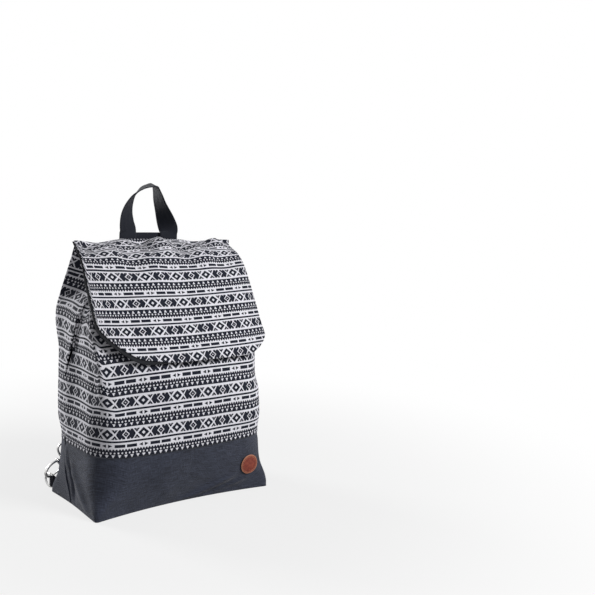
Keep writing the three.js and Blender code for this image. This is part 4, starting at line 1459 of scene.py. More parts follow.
    def build_canvas(self) -> None:
        """Canvas bottom: a floor that runs out from its middle, then walls up to the seam."""
        form = self.form
        places = form.round_places(0.0, 2.0, 420, 1.5)[:-1]
        levels = np.linspace(0.0, self.seam_level, 46)
        walls = soften(form.point(places[None, :], levels[:, None]), 0, 1)
        normals = grid_normals(walls, wrap=True)
        rise = sum(fold.rise(walls) for fold in self.canvas_folds)
        x, y, z = np.moveaxis(walls, -1, 0)
        rise = rise + 0.7 * np.sin(x / 15.0 + y / 17.0 + z / 30.0) * smoothstep(z, 6.0, 30.0)
        rise = rise * smoothstep(z, 0.0, 9.0) * smoothstep(form.canvas - z, 0.5, 14.0)
        walls = walls + rise[..., None] * normals
        walls[..., 2] = np.maximum(walls[..., 2], 0.0)
        grid, uv = self.tub(walls, (0.02, 0.2, 0.4, 0.6, 0.78, 0.9, 0.96))
        surface = cloth(grid, self.cloth, uv, tub=True)
        piece = publish("canvas_bottom", surface, CANVAS, stands_for=("bottom_panel",))
        declare_sheet(closed_round(grid))

    def build_lining(self) -> None:
        """Black lining: the body's form further in, with more room at the wings and a level floor.

        Where a fold of the front goes inwards, the lining gives way by a little more than the fold.
        """
        form = self.form
        places = form.round_places(0.0, 2.0, 300, 4.0)[:-1]
        levels = np.linspace(0.0, self.lining_top, 80)
        at_wings = smoothstep(levels, 5.4, 6.0) * (1 - smoothstep(levels, 6.7, self.lining_top))
        inset = self.lining_inset + self.wing_room * at_wings
        walls = form.point(places[None, :], levels[:, None], inset[:, None])
        dents = sum(np.minimum(fold.rise(walls), 0.0) for fold in self.front_folds)
        walls = walls + self.dent_share * dents[..., None] * grid_normals(walls, wrap=True)
        walls[..., 2] = np.maximum(walls[..., 2], self.lining_inset)
        grid, uv = self.tub(walls, (0.02, 0.3, 0.6, 0.85, 0.95))
        surface = cloth(grid, self.lining, uv, tub=True)
        piece = publish("lining_cloth", surface, LINING, stands_for=("lining",))
        declare_sheet(closed_round(grid))

    def build_seams(self) -> None:
        """Seams up both sides: an oval section carried up the side's middle, sunk behind the swell."""
        form = self.form
        for side, place in ((Side.LEFT, 0.5), (Side.RIGHT, 1.5)):
            levels = np.linspace(*self.seam_reach, 170)
            path = form.point(np.full_like(levels, place), levels)
            path[:, 0] += side.value * (self.seam_depth + self.front_ridge.rise(path, 0.0))
            along = directions(path)
            across = unit(np.cross(along, [side.value, 0.0, 0.0]))
            out = np.cross(across, along)
            section = np.array(self.seam_oval) * circle(10)
            low = levels < self.seam_level
            for name, part, finish in (("side_seam", ~low, WOVEN), ("canvas_side_seam", low, CANVAS)):
                surface = sweep(path[part], across[part], out[part], section)
                publish(f"{name}_{side.word}", surface, finish, mend=True)


@dataclass
class Flap:
    """Flap over the mouth: patterned cloth with a black lining behind it."""

    form: FlapForm = field(default_factory=FlapForm)
    columns: int = 210
    rows: int = 150
    repeat: float = 42.8
    row_place: float = 5.0
    motif_place: float = -20.0
    gather: float = 22.0
    crowd: float = 1.2
    side_trim: float = 0.016

    @staticmethod
    def trim(t: Array) -> Array:
        """How much shorter the outer cloth is than the lining along the lower left, where a band of black
        lining shows; the band is partly the lining's edge and partly painted shade under the lifted flap.
        """
        # Painted shade: the black lining left bare along the lower left also stands for the shadow under
        # the lifted edge
        return 0.044 * smoothstep(-t, 0.16, 0.56) + 0.03 * smoothstep(-t, 0.86, 1.0)

    def waves(self, t: Array, s: Array, x: Array) -> Array:
        """Height of the slack: buckles near the ridge, a lifted left corner, a slight curl on the right.

        Args:
            t: Place across.
            s: Place down.
            x: The same place across in millimetres.

        Returns:
            Height at each place.
        """
        near = np.exp(-((s / 0.30) ** 2)) * smoothstep(s, 0.0, 0.05)
        buckle = 4.4 * np.sin(x / 13.5 + 9.0 * s) + 2.8 * np.sin(x / 8.2 - 7.0 * s + 1.2)
        sway = 0.9 * np.sin(x / 24.0 + 6.0 * s + 0.5) * smoothstep(s, 0.2, 0.5)
        lift = 7.5 * bell(t, -0.86, 0.22) * smoothstep(s, 0.55, 1.0)
        curl = 3.0 * bell(t, 0.95, 0.2) * smoothstep(s, 0.6, 1.0)
        return buckle * near + sway + lift + curl

    def grid(self, trimmed: bool) -> tuple[Array, Array]:
        """Outer face of the flap and its cloth coordinates, with the pattern upside down.

        Args:
            trimmed: Whether the lower left edge is cut back as the outer cloth's is.

        Returns:
            Grid (rows, columns, 3) and cloth coordinates in millimetres.
        """
        t = np.sin(np.linspace(-self.crowd, self.crowd, self.columns)) / math.sin(self.crowd)
        t = t + self.side_trim * trimmed * np.clip(-t, 0, 1) ** 8
        t, s = np.meshgrid(t, np.linspace(0.0, 1.0, self.rows))
        reach = self.form.reach(t)
        full = s * (reach - self.trim(t) * trimmed)
        s = full / reach
        grid = soften(self.form.surface(t, full), 0, 6)
        normals = grid_normals(grid)
        x = grid[..., 0]
        across = lengths(grid, 1)
        middle = np.array([np.interp(0.0, row, run) for row, run in zip(x, across)])[:, None]
        across = soften(across - middle, 0, 30)
        run = lengths(grid, 0)
        share = 1 - self.form.round_share
        hang = np.array([np.interp(share, place, length) for place, length in zip(full.T, run.T)])
        gathered = self.gather * (1 - smoothstep(full, 0.0, 0.3))
        down = (run - hang[None] - self.row_place) * (WOVEN.along / self.repeat) - gathered
        grid = grid + self.waves(t, s, x)[..., None] * normals
        top = 1 - smoothstep(full, 0.0, 0.22)
        grid[..., 2] -= self.form.bag.ridge_dip(x) * top
        return grid, np.stack([across - self.motif_place, down], -1)

    def build(self) -> None:
        """Outer cloth and the lining behind it, which reaches past it along the lower left as a black band
        that also stands in for the shade under the lifted flap: painted shade.
        """
        grid, uv = self.grid(True)
        form = self.form
        piece = publish("flap_cloth", cloth(grid, form.cloth, uv), WOVEN, stands_for=("flap_outer",))
        declare_sheet(grid)
        whole, uv = self.grid(False)
        under = whole - (form.cloth + form.gap) * grid_normals(whole)
        lined = publish("flap_lining_cloth", cloth(under, form.lining, uv), LINING,
                        stands_for=("flap_lining",))
        declare_sheet(under)


@dataclass
class CarryHandle:
    """Webbing handle over the ridge and the strip that covers its ends on the back."""

    bag: BagForm = field(default_factory=BagForm)
    webbing: float = 1.8
    lay: float = 0.8
    width: float = 30.0
    rise: float = 86.0
    leg_x: float = 36.0
    lean: float = 8.0
    strip_length: float = 94.0
    strip_height: float = 38.0
    strip_rise: float = 12.0
    strip_gap: float = 0.85
    sewn: float = 0.66
    stitch_inset: float = 3.0
    stitch_pitch: float = 3.4
    stitch_length: float = 2.5
    thread: float = 0.38
    cross_inner: float = 11.0
    cross_outer: float = 10.0

    def __post_init__(self) -> None:
        """Heights of the legs' top and sewn end and of the strip's lower edge."""
        self.leg_top = self.bag.height + self.strip_rise
        self.leg_end = self.leg_top - self.sewn * self.strip_height
        self.strip_low = self.leg_top - self.strip_height

    def leg(self, sign: float, heights: Array) -> tuple[Array, Array, Array]:
        """Sewn leg of the handle: places, directions across and out.

        Args:
            sign: -1 for the left leg, 1 for the right.
            heights: Heights along it.

        Returns:
            Places, directions across and directions out.
        """
        x = sign * self.leg_x
        y = self.bag.back_y(x, heights) + self.lay + self.webbing / 2
        at = np.stack([np.full_like(heights, x), y, heights], -1)
        out = -self.bag.back_out(x, heights)
        across = np.stack([sign * out[:, 1], -sign * out[:, 0], 0 * heights], -1)
        return at, across, out

    def arch(self, count: int) -> tuple[Array, Array, Array]:
        """Arch of the handle; the webbing makes half a turn from leg to leg, most of it past the top.

        Args:
            count: Places along the arch.

        Returns:
            Places, directions across the webbing and directions out of its face.
        """
        y = float(self.bag.back_y(self.leg_x, self.bag.height)) + self.lay + self.webbing / 2
        peak = self.bag.height + self.rise
        shares = np.array([
            [-1, 0, 0], [-1, 0, 0.06], [-1.07, 0.1, 0.2], [-1.11, 0.3, 0.4], [-1.03, 0.55, 0.6],
            [-0.84, 0.8, 0.78], [-0.52, 1, 0.92], [-0.2, 1, 0.985], [0.1, 1, 1], [0.24, 0.9, 0.88],
            [0.4, 0.7, 0.67], [0.65, 0.4, 0.43], [0.88, 0.12, 0.19], [1, 0, 0.06], [1, 0, 0]])
        knots = np.stack([shares[:, 0] * self.leg_x, y - shares[:, 1] * self.lean,
                          lerp(self.leg_top, peak, shares[:, 2])], -1)
        path = smooth_path(knots, 30)
        run = lengths(path, 0) / lengths(path, 0)[-1]
        t = np.linspace(0, 1, count)
        at = resampled(path, run, t)
        along = unit(resampled(directions(path), run, t))
        left = self.bag.back_out(-self.leg_x, self.bag.height)
        first = math.atan2(-left[0], left[1])
        turn = lerp(first, math.pi - first, 0.78 * t + 0.22 * t**6)
        wish = np.stack([np.cos(turn), np.sin(turn), 0.12 * np.sin(turn)], -1)
        across = square_to(wish, along)
        return at, across, unit(np.cross(across, along))

    def build(self) -> None:
        """Handle, strip and the stitches that hold them."""
        left = self.leg(-1.0, np.linspace(self.leg_end, self.leg_top, 10)[:-1])
        right = self.leg(1.0, np.linspace(self.leg_top, self.leg_end, 10)[1:])
        arch = self.arch(150)
        at, across, out = (np.concatenate(parts) for parts in zip(left, arch, right))
        surface = sweep(at, across, out, band_section(self.width, self.webbing))
        handle = publish("handle_webbing", surface, WEBBING, stands_for=("handle",), mend=True)
        x = np.linspace(-self.strip_length / 2, self.strip_length / 2, 90)
        z = np.linspace(self.strip_low, self.leg_top, 40)
        offset = self.lay + 2 * self.webbing + self.strip_gap
        zz, xx = np.meshgrid(z, x, indexing="ij")
        grid = np.stack([xx, self.bag.back_y(xx, zz) + offset, zz], -1)[:, ::-1]
        uv = np.stack([grid[..., 2] - self.strip_low, grid[..., 0]], -1)
        strip = publish("back_strip_webbing", cloth(grid, self.webbing, uv), WEBBING,
                        stands_for=("back_strip",))
        declare_sheet(grid)
        declare_band(handle, at, self.width)
        self.build_stitches(offset)

    def build_stitches(self, offset: float) -> None:
        """Thread round the strip's edge and a cross over each leg.

        Args:
            offset: Distance of the strip's face from the back.
        """
        inset = self.stitch_inset
        half = self.strip_length / 2 - inset
        low, high = self.strip_low + inset, self.leg_top - inset
        corner = [(-half, low), (half, low), (half, high), (-half, high), (-half, low)]
        lines = list(zip(corner, corner[1:]))
        for sign in (-1.0, 1.0):
            a, b = sign * (self.leg_x - self.cross_inner), sign * (self.leg_x + self.cross_outer)
            lines += [((a, low), (a, high)), ((a, low), (b, high)), ((b, low), (a, high))]
        rows = []
        t = np.linspace(0, 1, 40)
        for (x0, z0), (x1, z1) in lines:
            x, z = lerp(x0, x1, t), lerp(z0, z1, t)
            path = np.stack([x, self.bag.back_y(x, z) + offset, z], -1)
            places, along = spaced(path, self.stitch_pitch)
            out = np.broadcast_to(BACKWARDS, along.shape)
            rows.append(stitch_row(places, along, out, self.stitch_length, self.thread))
        publish("strip_stitches", Surface.merged(rows), THREAD, mend=True)


@dataclass(frozen=True)
class CornerFrame:
    """Left lower back corner: sizes that tab, ring, clip and strap share, and the clip's frame."""

    bag: BagForm = BagForm()
    tab_reach: float = 8.0
    tab_lean: tuple[float, float, float] = (-0.15, 0.99, 0.0)
    ring_wire: float = 1.5
    ring_depth: float = 17.0
    ring_half: float = 10.0
    hook_wire: float = 2.1
    hook_half_width: float = 8.4
    hook_half_length: float = 15.0
    hook_play: float = 1.3
    hook_lean: tuple[float, float, float] = (0.8, 0.05, 0.6)
    hook_place: float = 0.48
    eye_wire: float = 1.6
    eye_rise: float = 33.0
    strap_width: float = 38.0
    frame_play: float = 3.5
    gap: float = 0.4

    @property
    def frame_half(self) -> float:
        """Half the width of the frames that hold the strap."""
        return self.strap_width / 2 + self.frame_play

    @property
    def ring_z(self) -> float:
        """Height of the ring's middle."""
        return self.ring_half + self.ring_wire + 1.0

    @property
    def tab_way(self) -> Array:
        """Direction in which the tab leaves the corner."""
        return unit(self.tab_lean)

    @property
    def bar(self) -> Array:
        """Middle of the ring's straight bar.

        Returns:
            Its place.
        """
        level = float(self.bag.level_at("z_back", self.ring_z))
        spot = self.bag.point(0.67, level).reshape(3)
        spot[2] = self.ring_z
        return spot + self.tab_reach * self.tab_way

    def hook(self) -> Axes:
        """Frame of the hook: side to the gate, out of the back, up to the swivel.

        Returns:
            The frame, with its origin in the middle of the bow.
        """
        up = unit(self.hook_lean)
        out = unit(BACKWARDS - up[1] * up)
        side = unit(np.cross(out, up))
        contact = self.bar + self.hook_place * self.ring_depth * self.tab_way
        contact[2] = self.ring_z + self.ring_half
        drop = self.hook_half_length - self.hook_wire - self.ring_wire - self.hook_play
        return Axes(contact + drop * up, np.stack([side, out, up]))


@dataclass
class Fitting:
    """Fitting of one strap, worked out for the left side and mirrored for the right."""

    side: Side
    corner: CornerFrame = field(default_factory=CornerFrame)

    def put(self, name: str, node: str, finish: Finish, surface: Surface,
            moves: bool = False) -> bpy.types.Object:
        """Publishes a piece of the fitting on its side.

        Args:
            name: Name of the piece, without the side.
            node: Solid of the frame that it replaces, without the side.
            finish: Its finish.
            surface: Its surface on the left side.
            moves: Whether it rides on a body of its own name, rather than on the bag.

        Returns:
            The new object.
        """
        full = f"{name}_{self.side.word}"
        return publish(full, surface.mirrored(self.side), finish, full if moves else "bag",
                       (f"{node}_{self.side.word}",), mend=True)


@dataclass
class CornerRing(Fitting):
    """D-shaped ring in a folded webbing tab at one lower back corner."""

    tab_width: float = 16.0
    tab_thick: float = 1.6
    tab_seam: float = 1.0

    def build(self) -> None:
        """Ring on its own body, and the tab on the bag."""
        corner = self.corner
        half, deep = corner.ring_half, corner.ring_depth
        upper = [(0, half - 3), (0.6, half - 0.9), (2.6, half), (deep * 0.35, half),
                 (deep * 0.6, half * 0.9), (deep * 0.86, half * 0.58)]
        outline = np.array([(0, 0), *upper, (deep, 0), *((x, -z) for x, z in reversed(upper))])
        knots = corner.bar + outline[:, :1] * corner.tab_way
        knots[:, 2] = corner.ring_z + outline[:, 1]
        cross = unit(np.cross(corner.tab_way, UPWARDS))
        self.put("ring", "d_ring", NICKEL, wire_loop(knots, cross, corner.ring_wire), moves=True)
        self.build_tab(cross)

    def build_tab(self, cross: Array) -> None:
        """Tab: a band that runs out along one side of the bar, round it and back.

        Args:
            cross: Direction square to the ring.
        """
        corner = self.corner
        bend = corner.ring_wire + 1.5 * corner.gap + self.tab_thick / 2
        start = corner.tab_reach - self.tab_seam
        back = np.linspace(start, 0.0, 8)
        spread = lerp(0.55 * bend, bend, smoothstep(-back, -start, -2.0))
        leg, other = (corner.bar - back[:, None] * corner.tab_way + sign * spread[:, None] * cross
                      for sign in (1.0, -1.0))
        turn = np.linspace(0, np.pi, 17)[1:-1, None]
        round_bar = corner.bar + bend * (np.cos(turn) * cross + np.sin(turn) * corner.tab_way)
        path = np.concatenate([leg, round_bar, other[::-1]])
        along = directions(path)
        up = np.broadcast_to(UPWARDS, along.shape)
        surface = sweep(path, up, np.cross(up, along), band_section(self.tab_width, self.tab_thick, 11))
        tab = self.put("tab", "ring_tab", WEBBING, surface)
        declare_band(tab, path, self.tab_width)


@dataclass
class ClipHook(Fitting):
    """Snap hook with its gate, and the swivel eye that carries the strap."""

    bow: tuple[float, float] = (0.6, 1.82)
    bow_drop: float = 0.6
    barrel_radius: float = 5.0
    stem_radius: float = 2.1
    stem_play: float = 0.4
    pin_radius: float = 1.2
    pin_play: float = 0.3
    gate_radius: float = 1.25

    def __post_init__(self) -> None:
        """Frame of the hook and the places that follow from its length."""
        self.axes = self.corner.hook()
        long = self.corner.hook_half_length
        self.shoulder = (long - 5.5, long - 0.5)
        self.barrel = (long + 0.5, long + 7.5)
        self.pin = (self.corner.hook_half_width - 2.2, sum(self.shoulder) / 2)
        self.knuckle = self.pin_radius + self.pin_play + 1.0
        self.slot_half = self.gate_radius + 0.35
        self.ear_half = self.slot_half + 1.7

    def bow_places(self, turn: Any) -> Array:
        """Places on the bow's ellipse: half width times cosine, half length times sine.

        Args:
            turn: Angle from the gate's side.

        Returns:
            Points with a last axis of three.
        """
        x = self.corner.hook_half_width * np.cos(turn)
        z = self.corner.hook_half_length * np.sin(turn) - self.bow_drop
        return self.axes.place(np.stack([x, 0 * x, z], -1))

    def ear(self, y: float, thick: float) -> Surface:
        """Cheek of the shoulder: a plate carried a small way along the hook's second axis.

        Its outline is a squared ellipse: cosine and sine to the power 0.45, with their signs kept.

        Args:
            y: Its place on the second axis.
            thick: Its thickness.

        Returns:
            The cheek.
        """
        low, high = self.shoulder
        even = circle(32)
        squared = np.sign(even) * np.abs(even) ** 0.45
        section = np.array([self.corner.hook_half_width, (high - low) / 2]) * squared
        shrink = np.array([0.86, 0.97, 1.0, 1.0, 0.97, 0.86])
        depth = y + thick * np.array([-0.5, -0.42, -0.28, 0.28, 0.42, 0.5])
        sections = np.array([0.4, (low + high) / 2]) + section * shrink[:, None, None]
        return self.plate(depth, sections)

    def plate(self, depth: Array, section: Array) -> Surface:
        """Profile in the hook's first and third axis, carried along its second axis.

        Args:
            depth: Places on the second axis.
            section: Profile (k, 2), or one for each place.

        Returns:
            The plate.
        """
        path = self.axes.place(np.stack([0 * depth, depth, 0 * depth], -1))
        across, _, up = (np.broadcast_to(way, path.shape) for way in self.axes.basis)
        return sweep(path, across, up, section)

    @staticmethod
    def bush(bore: float, outer: float, low: float, high: float, cut: float) -> list[tuple[float, float]]:
        """Profile of a bush between two heights, with its outer edges cut off."""
        return [(bore, low), (outer - cut, low), (outer, low + cut),
                (outer, high - cut), (outer - cut, high), (bore, high)]

    def post(self, profile: Any, spot: Any, along: int) -> Surface:
        """Turned part about one of the hook's axes through a local spot."""
        order = [(along + k) % 3 for k in (1, 2, 3)]
        return turned(profile, Axes(self.axes.place(spot), self.axes.basis[order]), 24)

    def build_hook(self) -> None:
        """Bow, shoulder with two cheeks, gate pin and swivel stem."""
        corner = self.corner
        start, end = self.bow
        bow = self.bow_places(np.linspace(start * np.pi, end * np.pi, 60))
        parts = [wire(bow, self.axes.basis[1], corner.hook_wire)]
        cheek = self.ear_half - self.slot_half
        for sign in (-1.0, 1.0):
            parts.append(self.ear(sign * (self.slot_half + cheek / 2), cheek))
        low, high = self.shoulder
        core = self.slot_half + 0.4
        near, far = 1.0 - corner.hook_half_width, self.pin[0] - self.knuckle - 0.5
        block = np.array([[near, low + 0.5], [far, low + 0.5], [far, high - 0.5], [near, high - 0.5]])
        parts.append(self.plate(np.array([-core, core]), block))
        ear, pin = self.ear_half, self.pin_radius
        head = [(0.05, -ear - 0.5), (pin + 0.2, -ear - 0.5), (pin + 0.5, -ear - 0.2), (pin + 0.5, -ear),
                (pin, -ear), (pin, ear), (pin + 0.5, ear), (pin + 0.5, ear + 0.2), (pin + 0.2, ear + 0.5),
                (0.05, ear + 0.5)]
        parts.append(self.post(head, (self.pin[0], 0, self.pin[1]), 1))
        top, stem = self.barrel[1], self.stem_radius
        cap = [(0.05, high - 1.0), (stem, high - 1.0), (stem, top + 0.6), (stem + 1.1, top + 0.6),
               (stem + 1.5, top + 1.0), (stem + 1.4, top + 1.6), (stem + 0.5, top + 2.2), (0.05, top + 2.3)]
        parts.append(self.post(cap, (0, 0, 0), 2))
        self.put("hook", "snap_hook", NICKEL, Surface.merged(parts), moves=True)

    def build_gate(self) -> None:
        """Gate: a ring on the pin and an arm that closes the bow."""
        x, z = self.pin
        half = self.gate_radius
        side, out, up = self.axes.basis
        tip = self.bow_places(self.bow[1] * np.pi) + 0.5 * side + 1.2 * up
        bend = (self.corner.hook_half_width + 0.2, 0, 2.0)
        knots = [*self.axes.place([(x + 1.0, 0, z - 1.0), bend]), tip]
        arm = wire(smooth_path(knots, 14), out, half)
        ring = self.bush(self.pin_radius + self.pin_play, self.knuckle, -half, half, 0.3)
        knuckle = self.post(ring, (x, 0, z), 1)
        self.put("gate", "hook_gate", NICKEL, Surface.merged([arm, knuckle]), moves=True)

    def build_eye(self) -> None:
        """Swivel eye: a barrel round the stem and a wide loop for the strap."""
        half = self.corner.frame_half
        mid, top = sum(self.barrel) / 2, self.corner.eye_rise
        right = [(half * 0.5, mid + 0.6), (half * 0.88, mid + 3.4), (half, mid + 8),
                 (half * 0.985, top - 2.4), (half * 0.9, top), (half * 0.45, top)]
        left = [(-x, z) for x, z in right[::-1]]
        knots = self.axes.place([(x, 0.0, z) for x, z in [(0.0, mid), *right, *left]])
        loop = wire_loop(knots, self.axes.basis[1], self.corner.eye_wire)
        ring = self.bush(self.stem_radius + self.stem_play, self.barrel_radius, *self.barrel, 0.7)
        barrel = self.post(ring, (0, 0, 0), 2)
        self.put("eye", "swivel_eye", NICKEL, Surface.merged([loop, barrel]))

    def build(self) -> None:
        """All three parts of the clip."""
        self.build_hook()
        self.build_gate()
        self.build_eye()


@dataclass
class ShoulderStrap(Fitting):
    """Webbing strap from the strip on the back to the clip, with its slider."""

    handle: CarryHandle = field(default_factory=CarryHandle)
    top_x: float = 28.0
    slack: float = 30.0
    spread: float = 6.0
    drop: float = 90.0
    tail: float = 0.09
    slider_place: float = 0.48
    slider_wire: float = 1.5
    slider_half: float = 9.0

    def __post_init__(self) -> None:
        """Bends and places that follow from the sizes."""
        bag, handle, corner = self.handle.bag, self.handle, self.corner
        axes = corner.hook()
        half = handle.webbing / 2
        self.eye_bend = corner.eye_wire + corner.gap + half
        self.bar_bend = self.slider_wire + corner.gap + half
        self.slider_offset = self.bar_bend + handle.webbing + corner.gap
        self.eye_bar = axes.place((0, 0, corner.eye_rise))
        low = self.eye_bar + self.eye_bend * axes.basis[1]
        layer = handle.lay + half
        end = handle.leg_end - 3.0
        near_z = handle.strip_low - 12.0
        x = -self.top_x
        self.top = np.array([x, float(bag.back_y(x, end)) + layer, end])
        near = np.array([x, float(bag.back_y(x, near_z)) + layer, near_z])
        self.knots = np.stack([
            near,
            np.array([x - self.spread, near[1] + 0.7 * self.slack, handle.strip_low - self.drop]),
            low + self.drop * axes.basis[2] + 0.4 * self.slack * BACKWARDS,
            low,
        ])
        self.lean = bag.back_out(x, end)

    def frames(self, t: Array) -> tuple[Array, Array, Array, Array]:
        """Places, directions along, out and across on the strap's cubic Bezier curve at t.

        Args:
            t: Places on the curve, 0 to 1.

        Returns:
            Four arrays (n, 3).
        """
        t = np.atleast_1d(np.asarray(t, float))[:, None]
        a, b, c, d = self.knots
        q = 1 - t
        at = q**3 * a + 3 * q * q * t * b + 3 * q * t * t * c + t**3 * d
        along = unit(3 * q * q * (b - a) + 6 * q * t * (c - b) + 3 * t * t * (d - c))
        lean = lerp(self.lean, BACKWARDS, smoothstep(t, 0.0, 0.4))
        out = square_to(lean, along)
        return at, along, out, unit(np.cross(along, out))

    def route(self) -> tuple[Array, Array, Array]:
        """Whole route: down the back, round the eye, up to the slider, round its bar and the tail.

        Returns:
            Places, directions across and directions out.
        """
        at, along, out, across = self.frames(np.linspace(0, 1, 90))
        first = np.linspace(0, 1, 8)[:-1, None]
        lead = lerp(self.top, self.knots[0], first)
        parts = [(lead, np.repeat(across[:1], 7, 0), np.repeat(out[:1], 7, 0)), (at, across, out)]
        turn = np.linspace(0, np.pi, 17)[1:, None]
        spin = np.cos(turn) * out[-1:] + np.sin(turn) * along[-1:]
        parts.append((self.eye_bar + self.eye_bend * spin, np.repeat(across[-1:], 16, 0), spin))
        t = np.linspace(1, self.slider_place, 50)[1:]
        at, along, out, across = self.frames(t)
        share = smoothstep((1 - t) / (1 - self.slider_place), 0, 0.7)[:, None]
        under = lerp(2 * self.eye_bend, self.slider_offset + self.bar_bend, share)
        parts.append((at - under * out, across, -out))
        spot, way, face, wide = self.frames(self.slider_place)
        bar = spot - self.slider_offset * face
        spin = -np.cos(turn) * face - np.sin(turn) * way
        parts.append((bar + self.bar_bend * spin, np.repeat(wide, 16, 0), spin))
        t = np.linspace(self.slider_place, self.slider_place + self.tail, 14)[1:]
        at, along, out, across = self.frames(t)
        parts.append((at + (self.bar_bend - self.slider_offset) * out, across, out))
        return tuple(np.concatenate(column) for column in zip(*parts))

    def build_slider(self) -> None:
        """Slider: a bowed wire frame over the strap with a bar under it."""
        spot, along, out, across = (part[0] for part in self.frames(self.slider_place))
        half, long = self.corner.frame_half, self.slider_half
        over = self.slider_offset + self.handle.webbing / 2 + self.corner.gap + self.slider_wire + 0.6
        axes = Axes(spot - self.slider_offset * out, np.stack([across, along, out]))
        one_way = [(-1, 0, 0.4), (-1, 0.7, 0.8), (-0.93, 1, 1), (0, 1, 1), (0.93, 1, 1), (1, 0.7, 0.8)]
        shares = np.array(one_way + [(-x, -y, z) for x, y, z in one_way])
        loop = shares * np.array([half, long, over])
        rail = np.array([(-half, 0, over * 0.4), (-half * 0.97, 0, 1), (-half * 0.9, 0, 0), (0, 0, 0),
                         (half * 0.9, 0, 0), (half * 0.97, 0, 1), (half, 0, over * 0.4)])
        ring = wire_loop(axes.place(loop), out, self.slider_wire)
        rod = wire(smooth_path(axes.place(rail), 8), along, self.slider_wire)
        self.put("slider", "strap_slider", NICKEL, Surface.merged([ring, rod]))

    def build(self) -> None:
        """Strap and slider."""
        at, across, out = self.route()
        width = self.corner.strap_width
        surface = sweep(at, across, out, band_section(width, self.handle.webbing))
        strap = self.put("strap", "shoulder_strap", WEBBING, surface)
        declare_band(strap, at, width)
        self.build_slider()


@dataclass
class LeatherPatch:
    """Round leather patch sewn on the canvas front; it is left plain."""

    bag: BagForm = field(default_factory=BagForm)
    radius: float = LEATHER.radius
    thick: float = 1.6
    inset: float = 39.0
    z: float = 42.0
    lift: float = 0.8
    stitches: int = 26
    stitch_ring: float = 0.80
    stitch_length: float = 2.1
    thread: float = 0.34

    def ring(self, share: Any, turn: Any, height: Any) -> Array:
        """Places on the patch by polar coordinates about its middle, at a height over the front.

        Args:
            share: Share of the radius.
            turn: Angle.
            height: Height over the front.

        Returns:
            Points with a last axis of three.
        """
        x = self.bag.width / 2 - self.inset + share * self.radius * np.cos(turn)
        z = self.z + share * self.radius * np.sin(turn)
        return np.stack([x, self.bag.front_y(x, z) - height, z], -1)

    def build(self) -> None:
        """Slightly domed disc with a rounded edge, and a ring of stitches."""
        profile = np.array([
            (0.02, 0.0), (0.6, 0.0), (0.96, 0.0), (0.99, 0.25), (1.0, 0.55), (0.985, 0.85),
            (0.95, 1.0), (0.84, 0.98), (0.80, 0.86), (0.76, 0.98), (0.5, 1.12), (0.02, 1.2)])
        turn = np.linspace(0, 2 * np.pi, 96, endpoint=False)
        share, way = np.meshgrid(profile[:, 0], turn, indexing="ij")
        height = self.lift + self.thick * np.broadcast_to(profile[:, 1:], share.shape)
        grid = self.ring(share, way, height)
        rows, columns = share.shape
        faces = grid_faces(rows, columns, wrap=True).tolist()
        faces.append(list(range(columns)))
        faces.append([(rows - 1) * columns + k for k in range(columns)])
        uv = self.radius * np.stack([share * np.cos(way), share * np.sin(way)], -1)
        surface = Surface(grid.reshape(-1, 3), faces, uv.reshape(-1, 2))
        publish("patch", surface, LEATHER, stands_for=("leather_patch",), mend=True)
        turn = np.linspace(0, 2 * np.pi, self.stitches + 1)[:-1]
        places = self.ring(self.stitch_ring, turn, self.lift + 0.95 * self.thick)
        along = unit(np.stack([-np.sin(turn), 0 * turn, np.cos(turn)], -1))
        out = np.broadcast_to(-BACKWARDS, along.shape)
        row = stitch_row(places, along, out, self.stitch_length, self.thread)
        publish("patch_stitches", row, TAN_THREAD, mend=True)


@dataclass
class Closure:
    """Press closure between the front and the flap: a socket and a stud."""

    flap: FlapForm = field(default_factory=FlapForm)
    radius: float = 9.0
    thick: float = 2.4
    z: float = 238.0

    def build(self) -> None:
        """Two turned discs face to face, square to the slope of the front."""
        bag = self.flap.bag
        slope = float(bag.front_y(0.0, self.z + 3) - bag.front_y(0.0, self.z - 3)) / 6
        tilt = math.atan(slope)
        out = np.array([0.0, -math.cos(tilt), math.sin(tilt)])
        across = np.array([1.0, 0.0, 0.0])
        basis = np.stack([across, np.cross(out, across), out])
        face = np.array([0.0, float(bag.front_y(0.0, self.z)), self.z])
        room = self.flap.standoff * math.cos(tilt) - self.flap.cloth - self.flap.lining
        half, r = self.thick / 2, self.radius
        socket = [(2.2, -half), (r - 0.5, -half), (r, -half + 0.5), (r, half - 0.9), (r - 0.6, half - 0.2),
                  (r - 1.6, half), (4.6, half), (4.0, half - 0.5), (3.4, half - 0.2), (2.2, half - 0.3)]
        stud = [(0.05, -half), (2.4, -half), (2.8, -half + 0.6), (2.4, -half + 1.1), (r - 1.4, -half + 1.3),
                (r, half - 0.5), (r - 0.4, half), (0.05, half)]
        for name, node, profile, distance in (
                ("closure_socket", "clasp_socket", socket, self.flap.gap + half),
                ("closure_stud", "clasp_stud", stud, room - 3 * self.flap.gap - half)):
            axes = Axes(face + distance * out, basis)
            publish(name, turned(profile, axes, 40), NICKEL, stands_for=(node,), mend=True)


@dataclass(frozen=True)
class Lamp:
    """Square soft lamp: place and size in metres, power in watts."""

    name: str
    place: tuple[float, float, float]
    size: float
    power: float


